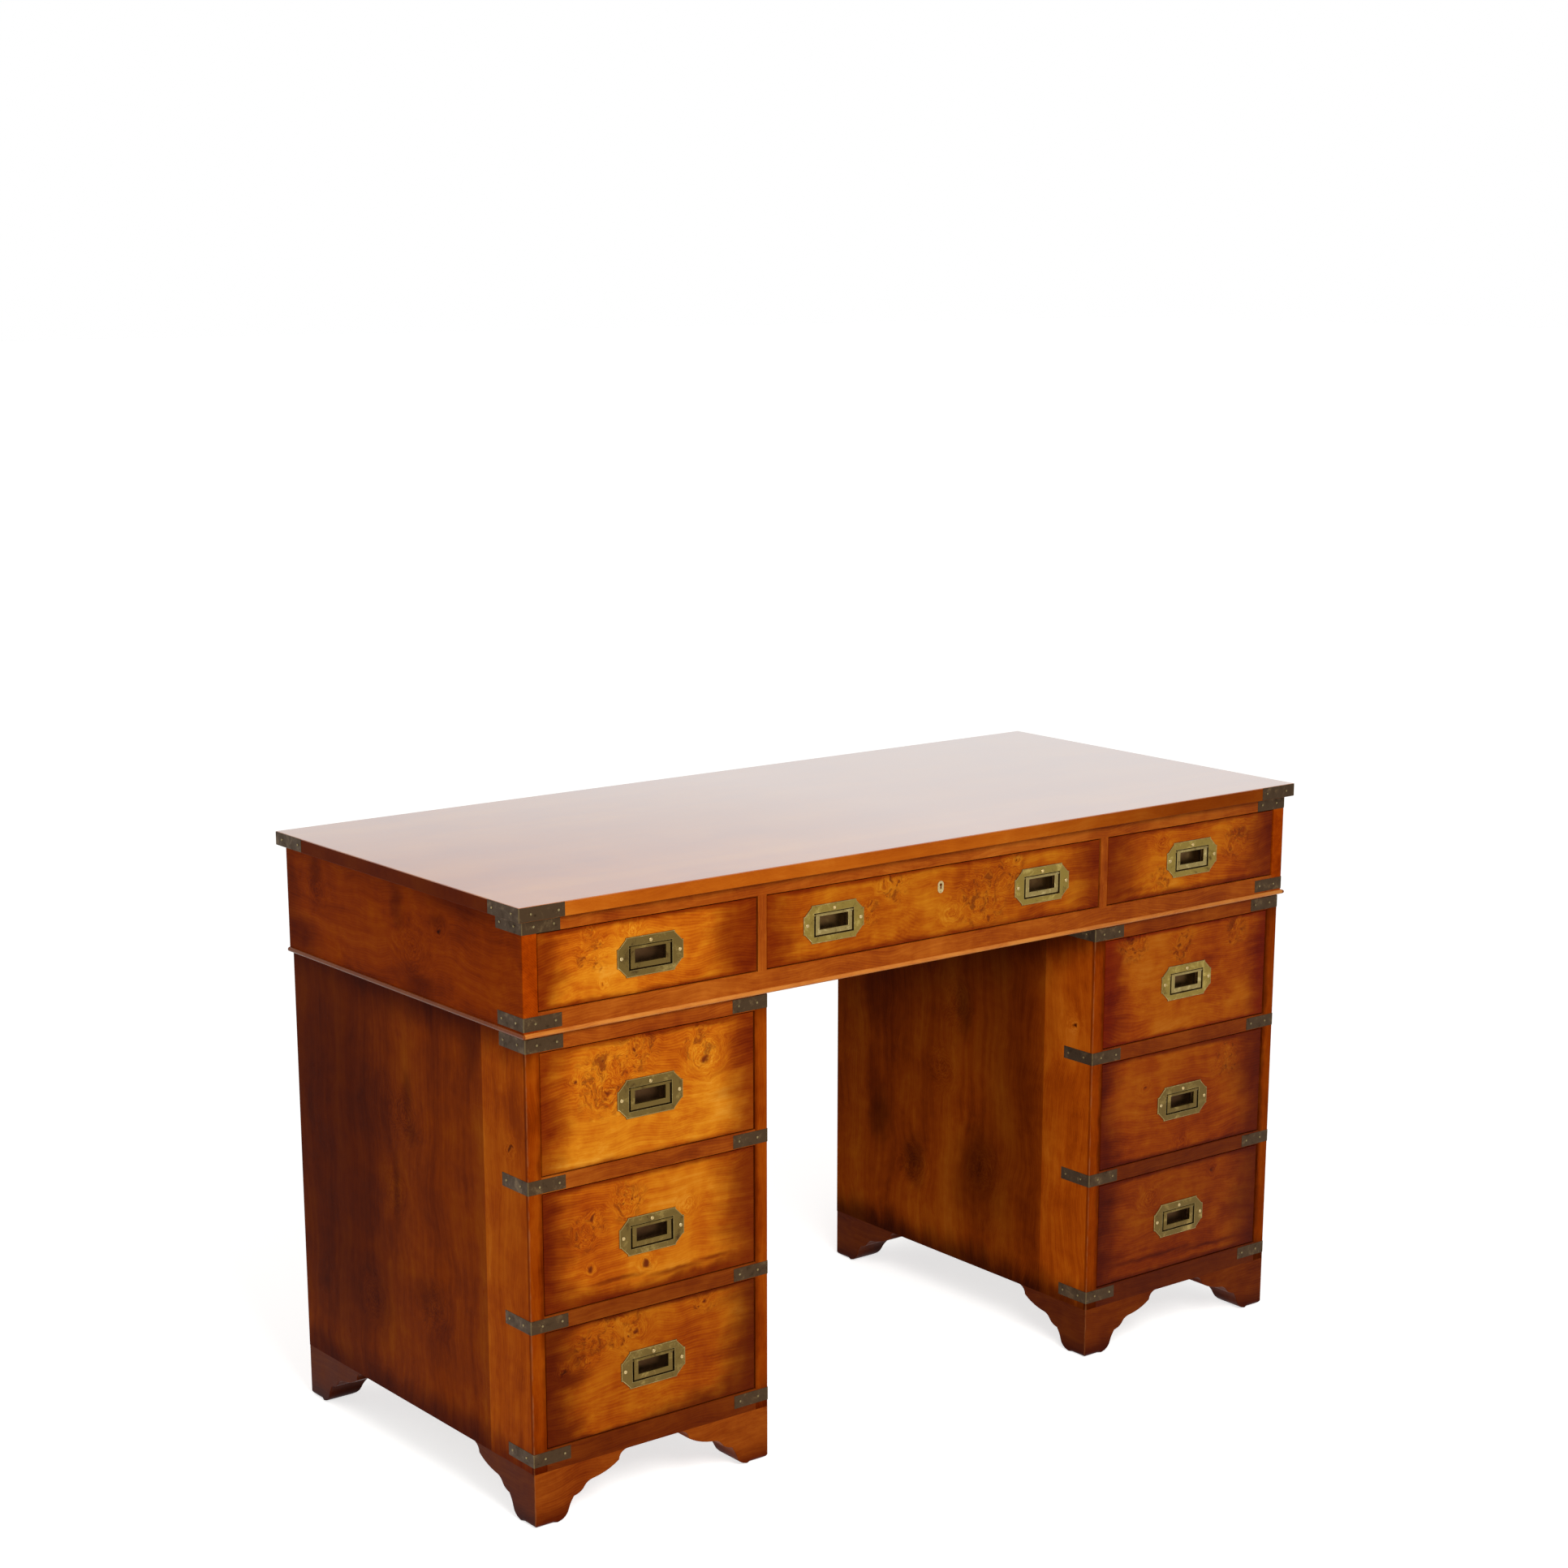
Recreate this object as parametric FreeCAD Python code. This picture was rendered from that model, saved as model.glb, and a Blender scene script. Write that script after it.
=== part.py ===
"""Twin-pedestal campaign desk in yew, with brass straps and flush ring handles.

Sizes are in millimetres. X runs along the width, the front faces -Y and Z is up. The origin
lies on the floor, under the middle of the top. Two pedestals of three drawers stand on bracket
feet and carry a frieze case of three drawers, under a thin overhanging top.
"""
import FreeCAD, Part
import math
import os
from dataclasses import dataclass
from FreeCAD import Vector

# ---- Top ----
desk_width = 1285.0
desk_depth = 570.0
slab_thickness = 18.0
slab_overhang = 9.0
slab_top_round = 2.0
slab_bottom_round = 3.0
slab_corner_round = 1.0

# ---- Frieze case: the three upper drawers ----
frieze_side_thickness = 20.0
frieze_back_thickness = 12.0
frieze_floor_thickness = 18.0
frieze_top_rail_height = 17.0
frieze_bottom_rail_height = 29.0
frieze_opening_height = 94.0
frieze_side_opening_width = 320.0
frieze_stile_width = 13.0
bead_height = 6.0
bead_projection = 3.5

# ---- Pedestals ----
pedestal_width = 353.0
pedestal_set_back = 3.0
pedestal_side_thickness = 19.0
pedestal_back_thickness = 12.0
pedestal_rail_height = 20.0
pedestal_rail_depth = 25.0
pedestal_bottom_rail_height = 28.0
pedestal_opening_heights = {"lower": 149.0, "middle": 153.0, "upper": 152.0}
dust_board_thickness = 10.0
bottom_board_thickness = 18.0
runner_width = 20.0
front_edge_round = 1.2

# ---- Bracket feet ----
foot_height = 70.0
foot_length = 137.0
foot_thickness = 18.0
foot_block_width = 26.0
foot_block_lift = 34.0

# ---- Drawers ----
drawer_side_gap = 1.5
drawer_top_gap = 1.5
drawer_bottom_gap = 1.0
drawer_running_gap = 0.3
drawer_end_gap = 10.0
drawer_front_set_back = 1.0
drawer_front_thickness = 20.0
drawer_front_round = 1.0
drawer_board_thickness = 10.0
drawer_bottom_thickness = 6.0
drawer_bottom_lift = 8.0
drawer_side_drop = 6.0
drawer_back_drop = 4.0

# ---- Ring handles ----
plate_width = 96.0
plate_height = 48.5
plate_thickness = 1.5
plate_corner_clip = 12.5
plate_corner_step = 2.0
plate_edge_bevel = 0.5
bail_width = 58.0
bail_length = 25.5
bail_thickness = 4.0
bail_side_bar = 6.5
bail_bottom_bar = 7.0
bail_edge_round = 1.2
bail_axis_height = 11.0
bail_side_gap = 2.5
bail_top_gap = 0.5
bail_bottom_gap = 1.5
pivot_radius = 1.2
pivot_clearance = 0.1
pivot_engagement = 0.9
cup_depth = 12.0
cup_wall = 1.3
cup_clearance = 0.5
frieze_handle_drop = 1.0
pedestal_handle_drop = 3.0
centre_handle_inset = 105.5
screw_head_radius = 2.4
screw_head_height = 0.9
screw_shank_radius = 1.2
screw_length = 12.0
screw_hole_clearance = 0.2
screw_edge_inset = 5.6
screw_top_inset = 6.5

# ---- Lock of the centre drawer ----
escutcheon_width = 10.0
escutcheon_height = 16.0
escutcheon_thickness = 1.2
escutcheon_let_in = 0.7
keyhole_radius = 2.0
keyhole_slot_width = 2.2
keyhole_slot_length = 5.5
keyhole_below_top = 24.0
lock_width = 56.0
lock_height = 42.0
lock_thickness = 12.0
lock_top_gap = 1.0
lock_floor = 12.0
bolt_width = 20.0
bolt_thickness = 6.0
bolt_clearance = 0.4
bolt_travel = 8.0
mortise_clearance = 1.0
rail_behind_lock = 7.0

# ---- Brass corner straps and their nails ----
strap_thickness = 1.6
strap_proud = 0.4
strap_height = 17.0
strap_corner_round = 0.8
slab_strap_height = 17.0
slab_strap_front_wing = 63.0
slab_strap_side_wing = 66.0
case_strap_front_wing = 53.0
case_strap_side_wing = 55.0
strap_drop = 2.0
frieze_bottom_strap_drop = 4.0
nail_from_corner = 16.0
nail_from_wing_end = 9.0
nail_head_radius = 1.7
nail_head_height = 0.6
nail_shank_radius = 0.8
nail_length = 7.0

# ---- Places worked out from the sizes above ----
carcass_height = (
    pedestal_bottom_rail_height
    + sum(pedestal_opening_heights.values())
    + pedestal_rail_height * len(pedestal_opening_heights)
)
pedestal_top = foot_height + carcass_height
frieze_drawer_floor = pedestal_top + frieze_bottom_rail_height
frieze_drawer_ceiling = frieze_drawer_floor + frieze_opening_height
slab_bottom = frieze_drawer_ceiling + frieze_top_rail_height
slab_top = slab_bottom + slab_thickness
frieze_half_width = desk_width / 2 - slab_overhang
frieze_half_depth = desk_depth / 2 - slab_overhang
frieze_inner_x = frieze_half_width - frieze_side_thickness
frieze_inner_back = frieze_half_depth - frieze_back_thickness
frieze_front = -frieze_half_depth
frieze_rail_depth = (
    drawer_front_set_back + drawer_front_thickness + lock_thickness + rail_behind_lock
)
frieze_rail_back = frieze_front + frieze_rail_depth
stile_outer_x = frieze_inner_x - frieze_side_opening_width
stile_inner_x = stile_outer_x - frieze_stile_width
pedestal_outer_x = frieze_half_width - pedestal_set_back
pedestal_inner_x = pedestal_outer_x - pedestal_width
pedestal_half_depth = frieze_half_depth - pedestal_set_back
pedestal_front = -pedestal_half_depth
pedestal_inner_back = pedestal_half_depth - pedestal_back_thickness
pedestal_rail_back = pedestal_front + pedestal_rail_depth


@dataclass(frozen=True)
class Opening:
    """The hole in a case that one drawer slides into."""

    name: str
    x_low: float
    x_high: float
    z_low: float
    z_high: float
    face: float
    back: float
    handle_drop: float

    @property
    def centre_x(self):
        return (self.x_low + self.x_high) / 2


@dataclass(frozen=True)
class Strap:
    """An L of brass round one upright corner: the corner's place and the way into the wood."""

    x: float
    y: float
    into_x: int
    into_y: int
    bottom: float
    height: float
    front_wing: float
    side_wing: float


# ---- Shapes that many pieces share ----
same_place = 1e-6


def box(x_low, x_high, y_low, y_high, z_low, z_high):
    """A block between the given faces."""
    corner = Vector(x_low, y_low, z_low)
    return Part.makeBox(x_high - x_low, y_high - y_low, z_high - z_low, corner)


def prism(points, along):
    """A flat outline of straight sides, pushed out along a vector."""
    return Part.Face(Part.makePolygon(points + points[:1])).extrude(along)


def eased(solid, radius, wanted):
    """The solid with every edge that the test picks rounded."""
    return solid.makeFillet(radius, [edge for edge in solid.Edges if wanted(edge)])


def lies_at(edge, axis, place):
    """Whether a whole edge lies in the plane where that axis has that value."""
    low = getattr(edge.BoundBox, axis + "Min")
    high = getattr(edge.BoundBox, axis + "Max")
    return abs(low - place) < same_place and abs(high - place) < same_place


def cut_away(solid, tools):
    """The solid less every tool that reaches it."""
    near = [tool for tool in tools if tool.BoundBox.intersect(solid.BoundBox)]
    return solid.cut(near).Solids[0] if near else solid


def facing_corner(solid, into_x, into_y):
    """Turn a piece drawn at a front left corner to face another corner of a rectangle."""
    if into_x < 0:
        solid = solid.mirror(Vector(), Vector(1, 0, 0))
    if into_y < 0:
        solid = solid.mirror(Vector(), Vector(0, 1, 0))
    return solid


def to_right(solids):
    """The mirror images, across the desk's middle, of pieces on the left."""
    return [solid.mirror(Vector(), Vector(1, 0, 0)) for solid in solids]


def headed_pin(head_radius, head_height, shank_radius, length):
    """A nail or screw along +Y: a domed head in front of the origin and a shank behind it."""
    dome_radius = (head_radius**2 + head_height**2) / (2 * head_height)
    half_angle = math.asin(head_radius / dome_radius) / 2
    rise = dome_radius * math.cos(half_angle) - dome_radius + head_height
    crown = Vector(0, -head_height, 0)
    middle = Vector(dome_radius * math.sin(half_angle), -rise, 0)
    rim = Vector(head_radius, 0, 0)
    neck = Vector(shank_radius, 0, 0)
    shoulder = Vector(shank_radius, length - shank_radius, 0)
    tip = Vector(0, length, 0)
    sides = [
        Part.Arc(crown, middle, rim).toShape(),
        Part.makeLine(rim, neck),
        Part.makeLine(neck, shoulder),
        Part.makeLine(shoulder, tip),
        Part.makeLine(tip, crown),
    ]
    return Part.Face(Part.Wire(sides)).revolve(Vector(), Vector(0, 1, 0), 360)


# ---- Places of the drawers ----
def frieze_openings():
    """The three openings of the frieze case, from left to right."""
    spans = {
        "frieze_left": (-frieze_inner_x, -stile_outer_x),
        "frieze_centre": (-stile_inner_x, stile_inner_x),
        "frieze_right": (stile_outer_x, frieze_inner_x),
    }
    return [
        Opening(
            name, low, high, frieze_drawer_floor, frieze_drawer_ceiling,
            frieze_front, frieze_inner_back, frieze_handle_drop,
        )
        for name, (low, high) in spans.items()
    ]


def pedestal_levels():
    """Each pedestal opening's name, floor and ceiling, from the bottom up."""
    levels = []
    floor = foot_height + pedestal_bottom_rail_height
    for name, height in pedestal_opening_heights.items():
        levels.append((name, floor, floor + height))
        floor += height + pedestal_rail_height
    return levels


def pedestal_openings():
    """The six openings of the two pedestals."""
    outer = pedestal_outer_x - pedestal_side_thickness
    inner = pedestal_inner_x + pedestal_side_thickness
    spans = {"left": (-outer, -inner), "right": (inner, outer)}
    return [
        Opening(
            f"{side}_{level}", low, high, floor, ceiling,
            pedestal_front, pedestal_inner_back, pedestal_handle_drop,
        )
        for side, (low, high) in spans.items()
        for level, floor, ceiling in pedestal_levels()
    ]


def front_span(opening):
    """The drawer front's left, right, bottom and top."""
    return (
        opening.x_low + drawer_side_gap,
        opening.x_high - drawer_side_gap,
        opening.z_low + drawer_bottom_gap,
        opening.z_high - drawer_top_gap,
    )


def front_face(opening):
    """Where the drawer front's outer face lies."""
    return opening.face + drawer_front_set_back


def handle_centres(opening):
    """The middle of each handle plate on a drawer front."""
    height = (opening.z_low + opening.z_high) / 2 - opening.handle_drop
    if opening.name == "frieze_centre":
        reach = (opening.x_high - opening.x_low) / 2 - centre_handle_inset
        places = [opening.centre_x - reach, opening.centre_x + reach]
    else:
        places = [opening.centre_x]
    return [Vector(x, front_face(opening), height) for x in places]


# ---- Straps and nails ----
def slab_straps():
    """The four straps at the top's corners."""
    bottom = slab_bottom + (slab_thickness - slab_strap_height) / 2
    x = desk_width / 2
    y = desk_depth / 2
    return [
        Strap(
            -into_x * x, -into_y * y, into_x, into_y, bottom, slab_strap_height,
            slab_strap_front_wing, slab_strap_side_wing,
        )
        for into_x in (1, -1)
        for into_y in (1, -1)
    ]


def case_straps():
    """The straps on the front corners of the frieze case and of both pedestals."""
    places = []
    for top in (slab_bottom, frieze_drawer_floor - frieze_bottom_strap_drop):
        places.append((frieze_half_width, 1, frieze_front, top))
    rail_tops = [foot_height + pedestal_bottom_rail_height]
    rail_tops += [ceiling + pedestal_rail_height for _, _, ceiling in pedestal_levels()]
    for top in rail_tops:
        places.append((pedestal_outer_x, 1, pedestal_front, top - strap_drop))
        places.append((pedestal_inner_x, -1, pedestal_front, top - strap_drop))
    straps = []
    for x, into_x, y, top in places:
        for side in (-1, 1):
            straps.append(
                Strap(
                    side * x, y, -side * into_x, 1, top - strap_height, strap_height,
                    case_strap_front_wing, case_strap_side_wing,
                )
            )
    return straps


def strap_solid(strap):
    """One strap, let into the wood and standing a little proud of it."""
    outer = -strap_proud
    inner = strap_thickness - strap_proud
    outline = [
        Vector(outer, outer, 0),
        Vector(strap.front_wing, outer, 0),
        Vector(strap.front_wing, inner, 0),
        Vector(inner, inner, 0),
        Vector(inner, strap.side_wing, 0),
        Vector(outer, strap.side_wing, 0),
    ]
    solid = prism(outline, Vector(0, 0, strap.height))
    solid = eased(
        solid, strap_corner_round, lambda edge: lies_at(edge, "X", outer) and lies_at(edge, "Y", outer)
    )
    solid = facing_corner(solid, strap.into_x, strap.into_y)
    solid.translate(Vector(strap.x, strap.y, strap.bottom))
    return solid


def strap_nails(strap):
    """Two nails in the front wing and two in the side wing."""
    height = strap.bottom + strap.height / 2
    nails = []
    for wing, turn in ((strap.front_wing, 0), (strap.side_wing, -90)):
        for along in (nail_from_corner, wing - nail_from_wing_end):
            nail = headed_pin(nail_head_radius, nail_head_height, nail_shank_radius, nail_length)
            nail.rotate(Vector(), Vector(0, 0, 1), turn)
            nail.translate(Vector(-strap_proud, along, 0) if turn else Vector(along, -strap_proud, 0))
            nail = facing_corner(nail, strap.into_x, strap.into_y)
            nail.translate(Vector(strap.x, strap.y, height))
            nails.append(nail)
    return nails


# ---- Top and frieze case ----
def top_slab():
    """The thin top, its edges eased."""
    x = desk_width / 2
    y = desk_depth / 2
    slab = box(-x, x, -y, y, slab_bottom, slab_top)
    slab = eased(
        slab, slab_corner_round, lambda edge: abs(edge.BoundBox.ZLength - slab_thickness) < same_place
    )
    slab = eased(slab, slab_top_round, lambda edge: lies_at(edge, "Z", slab_top))
    return [eased(slab, slab_bottom_round, lambda edge: lies_at(edge, "Z", slab_bottom))]


def frieze_sides():
    """The two end boards of the frieze case, their front corners eased."""
    left = box(
        -frieze_half_width, -frieze_inner_x, frieze_front, frieze_half_depth, pedestal_top, slab_bottom
    )
    left = eased(
        left,
        front_edge_round,
        lambda edge: lies_at(edge, "X", -frieze_half_width) and lies_at(edge, "Y", frieze_front),
    )
    return [left] + to_right([left])


def frieze_boards():
    """The back board and the floor, which rests on the pedestals."""
    back = box(
        -frieze_inner_x, frieze_inner_x, frieze_inner_back, frieze_half_depth, pedestal_top, slab_bottom
    )
    floor_top = pedestal_top + frieze_floor_thickness
    floor = box(
        -frieze_inner_x, frieze_inner_x, frieze_rail_back, frieze_inner_back, pedestal_top, floor_top
    )
    return [back, floor]


def bolt_mortise():
    """The pocket in the top rail that the lock bolt rises into."""
    half_width = bolt_width / 2 + mortise_clearance
    middle = lock_middle()
    half_depth = bolt_thickness / 2 + mortise_clearance
    return box(
        -half_width, half_width, middle - half_depth, middle + half_depth,
        frieze_drawer_ceiling, frieze_drawer_ceiling + bolt_travel,
    )


def frieze_front_frame():
    """The two long rails and the two short stiles between the drawers."""
    top_rail = box(
        -frieze_inner_x, frieze_inner_x, frieze_front, frieze_rail_back, frieze_drawer_ceiling, slab_bottom
    )
    bottom_rail = box(
        -frieze_inner_x, frieze_inner_x, frieze_front, frieze_rail_back, pedestal_top, frieze_drawer_floor
    )
    stile = box(
        -stile_outer_x, -stile_inner_x, frieze_front, frieze_rail_back,
        frieze_drawer_floor, frieze_drawer_ceiling,
    )
    return [top_rail.cut(bolt_mortise()), bottom_rail, stile] + to_right([stile])


def frieze_dividers():
    """The boards behind the stiles, from the floor to the underside of the top."""
    floor_top = pedestal_top + frieze_floor_thickness
    divider = box(
        -stile_outer_x, -stile_inner_x, frieze_rail_back, frieze_inner_back, floor_top, slab_bottom
    )
    return [divider] + to_right([divider])


def frieze_runners():
    """Strips under and over the side edges of each frieze drawer."""
    floor_top = pedestal_top + frieze_floor_thickness
    strips = []
    for opening in frieze_openings():
        for low in (opening.x_low, opening.x_high - runner_width):
            for bottom, top in ((floor_top, opening.z_low), (opening.z_high, slab_bottom)):
                strips.append(
                    box(low, low + runner_width, frieze_rail_back, frieze_inner_back, bottom, top)
                )
    return strips


def bead_run(length):
    """A half-round bead along +X with its flat back on Y = 0, mitred at its first end."""
    flat = bead_projection - bead_height / 2
    lower = Vector(0, -flat, 0)
    nose = Vector(0, -bead_projection, bead_height / 2)
    upper = Vector(0, -flat, bead_height)
    sides = [
        Part.makeLine(Vector(), lower),
        Part.Arc(lower, nose, upper).toShape(),
        Part.makeLine(upper, Vector(0, 0, bead_height)),
        Part.makeLine(Vector(0, 0, bead_height), Vector()),
    ]
    run = Part.Face(Part.Wire(sides)).extrude(Vector(length + bead_projection, 0, 0))
    run.translate(Vector(-bead_projection, 0, 0))
    waste = [
        Vector(0, 0, 0),
        Vector(-bead_projection, 0, 0),
        Vector(-bead_projection, -bead_projection, 0),
    ]
    return run.cut(prism(waste, Vector(0, 0, bead_height)))


def frieze_moulding():
    """The half-round bead round the foot of the frieze case, on its front and both ends."""
    front_left = bead_run(frieze_half_width)
    front_left.translate(Vector(-frieze_half_width, frieze_front, pedestal_top))
    front = front_left.fuse(to_right([front_left])[0]).removeSplitter()
    side = bead_run(2 * frieze_half_depth)
    side.rotate(Vector(), Vector(0, 0, 1), 90)
    side = side.mirror(Vector(), Vector(1, 0, 0))
    side.translate(Vector(-frieze_half_width, frieze_front, pedestal_top))
    return [front.Solids[0], side] + to_right([side])


# ---- Pedestals: drawn on the left and mirrored for the right ----
def pedestal_sides():
    """The outer and the inner side board, the front corners eased."""
    boards = []
    for face, into in ((-pedestal_outer_x, 1), (-pedestal_inner_x, -1)):
        low, high = sorted((face, face + into * pedestal_side_thickness))
        board = box(low, high, pedestal_front, pedestal_half_depth, foot_height, pedestal_top)
        boards.append(
            eased(
                board,
                front_edge_round,
                lambda edge: lies_at(edge, "X", face) and lies_at(edge, "Y", pedestal_front),
            )
        )
    return boards


def pedestal_span():
    """The clear width between the side boards, as its low and high X."""
    return -pedestal_outer_x + pedestal_side_thickness, -pedestal_inner_x - pedestal_side_thickness


def pedestal_back():
    """The back board, between the side boards."""
    low, high = pedestal_span()
    return [box(low, high, pedestal_inner_back, pedestal_half_depth, foot_height, pedestal_top)]


def pedestal_rails():
    """The four rails across the front."""
    low, high = pedestal_span()
    rail_spans = [(foot_height, foot_height + pedestal_bottom_rail_height)]
    rail_spans += [(ceiling, ceiling + pedestal_rail_height) for _, _, ceiling in pedestal_levels()]
    return [
        box(low, high, pedestal_front, pedestal_rail_back, bottom, top) for bottom, top in rail_spans
    ]


def pedestal_boards():
    """The top, the two dust boards, the bottom and the runners on the bottom."""
    low, high = pedestal_span()
    bottom_top = foot_height + bottom_board_thickness
    rail_top = foot_height + pedestal_bottom_rail_height
    spans = [(foot_height, bottom_top), (pedestal_top - pedestal_rail_height, pedestal_top)]
    for name, floor, _ in pedestal_levels():
        if name != "lower":
            spans.append((floor - dust_board_thickness, floor))
    boards = [
        box(low, high, pedestal_rail_back, pedestal_inner_back, bottom, top) for bottom, top in spans
    ]
    for start in (low, high - runner_width):
        boards.append(
            box(start, start + runner_width, pedestal_rail_back, pedestal_inner_back, bottom_top, rail_top)
        )
    return boards


def foot_outline():
    """A bracket foot seen square on: a rounded heel, then two lobes that rise to the case.

    Points are shares of the foot's length and height, measured from the desk's corner.
    """

    def at(along, up):
        return Vector(along * foot_length, 0, up * foot_height)

    heel = at(0.27, 0)
    ankle = at(0.362, 0.12)
    low_cusp = at(0.415, 0.40)
    low_lobe = at(0.53, 0.53)
    hollow = at(0.64, 0.63)
    high_cusp = at(0.90, 0.82)
    top_end = at(1, 1)
    return Part.Wire(
        [
            Part.makeLine(at(0, 0), heel),
            Part.Arc(heel, at(0.33, 0.025), ankle).toShape(),
            Part.Arc(ankle, at(0.38, 0.27), low_cusp).toShape(),
            Part.Arc(low_cusp, at(0.485, 0.445), low_lobe).toShape(),
            Part.Arc(low_lobe, at(0.575, 0.60), hollow).toShape(),
            Part.Arc(hollow, at(0.78, 0.70), high_cusp).toShape(),
            Part.Arc(high_cusp, at(0.93, 0.94), top_end).toShape(),
            Part.makeLine(top_end, at(0, 1)),
            Part.makeLine(at(0, 1), at(0, 0)),
        ]
    )


def foot_pieces():
    """One corner's foot, with the corner at the origin: two mitred brackets and a block."""
    front = Part.Face(foot_outline()).extrude(Vector(0, foot_thickness, 0))
    waste = [Vector(), Vector(0, foot_thickness, 0), Vector(foot_thickness, foot_thickness, 0)]
    front = front.cut(prism(waste, Vector(0, 0, foot_height)))
    side = front.mirror(Vector(), Vector(1, -1, 0))
    reach = foot_thickness + foot_block_width
    block = box(foot_thickness, reach, foot_thickness, reach, foot_block_lift, foot_height)
    return [front, side, block]


def pedestal_feet():
    """A foot at each corner of the pedestal."""
    pieces = []
    for x, into_x in ((-pedestal_outer_x, 1), (-pedestal_inner_x, -1)):
        for y, into_y in ((pedestal_front, 1), (pedestal_half_depth, -1)):
            for piece in foot_pieces():
                placed = facing_corner(piece, into_x, into_y)
                placed.translate(Vector(x, y, 0))
                pieces.append(placed)
    return pieces


# ---- Handles ----
def window():
    """The plate's window round the hanging ring: half width, bottom and top from the centre."""
    half_width = bail_width / 2 + bail_side_gap
    bottom = bail_axis_height - bail_length - bail_bottom_gap
    top = bail_axis_height + bail_thickness / 2 + bail_top_gap
    return half_width, bottom, top


def plate_outline(centre):
    """The plate's outline: a rectangle with stepped, clipped corners."""
    half_width = plate_width / 2
    half_height = plate_height / 2
    quarter = [
        (half_width, half_height - plate_corner_clip),
        (half_width - plate_corner_step, half_height - plate_corner_clip),
        (half_width - plate_corner_clip, half_height - plate_corner_step),
        (half_width - plate_corner_clip, half_height),
    ]
    corners = quarter
    corners = corners + [(-x, z) for x, z in reversed(quarter)]
    corners = corners + [(-x, -z) for x, z in quarter]
    corners = corners + [(x, -z) for x, z in reversed(quarter)]
    return [centre + Vector(x, 0, z) for x, z in corners]


def bail_axis(centre):
    """A point on the ring's pivot line, level with the plate's middle."""
    return centre + Vector(0, bail_thickness / 2 - plate_thickness, bail_axis_height)


def screws(centre):
    """Three screws: one at each end of the plate and one above the window."""
    pin = headed_pin(screw_head_radius, screw_head_height, screw_shank_radius, screw_length)
    placed = []
    end = plate_width / 2 - screw_edge_inset
    for x, z in ((-end, 0), (end, 0), (0, plate_height / 2 - screw_top_inset)):
        screw = pin.copy()
        screw.translate(centre + Vector(x, -plate_thickness, z))
        placed.append(screw)
    return placed


def handle_plate(centre):
    """The plate and the cup behind it, in one casting, bored for the pivots and screws."""
    plate = prism(plate_outline(centre), Vector(0, -plate_thickness, 0))
    face = centre.y - plate_thickness
    plate = plate.makeChamfer(
        plate_edge_bevel, [edge for edge in plate.Edges if lies_at(edge, "Y", face)]
    )
    half_width, bottom, top = window()
    x = centre.x
    z = centre.z
    cup = box(
        x - half_width - cup_wall, x + half_width + cup_wall, centre.y, centre.y + cup_depth + cup_wall,
        z + bottom - cup_wall, z + top + cup_wall,
    )
    hollow = box(
        x - half_width, x + half_width, face, centre.y + cup_depth, z + bottom, z + top
    )
    bore_radius = pivot_radius + pivot_clearance
    bore_length = 2 * (half_width + cup_wall)
    bore_start = bail_axis(centre) - Vector(bore_length / 2, 0, 0)
    bore = Part.makeCylinder(bore_radius, bore_length, bore_start, Vector(1, 0, 0))
    holes = []
    for screw in screws(centre):
        middle = screw.BoundBox.Center
        start = Vector(middle.x, face, middle.z)
        holes.append(
            Part.makeCylinder(
                screw_shank_radius + screw_hole_clearance, plate_thickness, start, Vector(0, 1, 0)
            )
        )
    return plate.fuse(cup).cut([hollow, bore] + holes).removeSplitter().Solids[0]


def cup_pocket(centre):
    """The pocket in a drawer front that takes the cup."""
    half_width, bottom, top = window()
    grown = cup_wall + cup_clearance
    return box(
        centre.x - half_width - grown, centre.x + half_width + grown,
        centre.y - plate_thickness, centre.y + cup_depth + grown,
        centre.z + bottom - grown, centre.z + top + grown,
    )


def bail(centre):
    """The swinging ring: a round top bar on two pivots, two side bars and a broad lower bar."""
    half_width = bail_width / 2
    half_thickness = bail_thickness / 2
    opening_half = half_width - bail_side_bar
    ring = box(-half_width, half_width, -half_thickness, half_thickness, -bail_length, 0)
    hole = box(
        -opening_half, opening_half, -half_thickness, half_thickness,
        bail_bottom_bar - bail_length, -half_thickness,
    )
    ring = ring.cut(hole)

    def on_a_face(edge):
        flat = lies_at(edge, "Y", half_thickness) or lies_at(edge, "Y", -half_thickness)
        return flat and not lies_at(edge, "Z", 0)

    ring = eased(ring, bail_edge_round, on_a_face)
    top_bar = Part.makeCylinder(half_thickness, bail_width, Vector(-half_width, 0, 0), Vector(1, 0, 0))
    pivot_length = bail_width + 2 * (bail_side_gap + pivot_engagement)
    pivots = Part.makeCylinder(
        pivot_radius, pivot_length, Vector(-pivot_length / 2, 0, 0), Vector(1, 0, 0)
    )
    ring = ring.fuse([top_bar, pivots]).Solids[0]
    ring.translate(bail_axis(centre))
    return ring


# ---- Lock ----
def lock_middle():
    """The Y of the lock bolt's middle plane."""
    return frieze_front + drawer_front_set_back + drawer_front_thickness + lock_thickness / 2


def keyhole(opening):
    """The key's way in, from the drawer's face to the bolt: a round hole over a slot."""
    _, _, _, top = front_span(opening)
    centre = Vector(opening.centre_x, opening.face, top - keyhole_below_top)
    depth = lock_middle() - bolt_thickness / 2 - bolt_clearance - opening.face
    hole = Part.makeCylinder(keyhole_radius, depth, centre, Vector(0, 1, 0))
    slot = box(
        centre.x - keyhole_slot_width / 2, centre.x + keyhole_slot_width / 2,
        centre.y, centre.y + depth, centre.z - keyhole_slot_length, centre.z,
    )
    return hole.fuse(slot)


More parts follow.
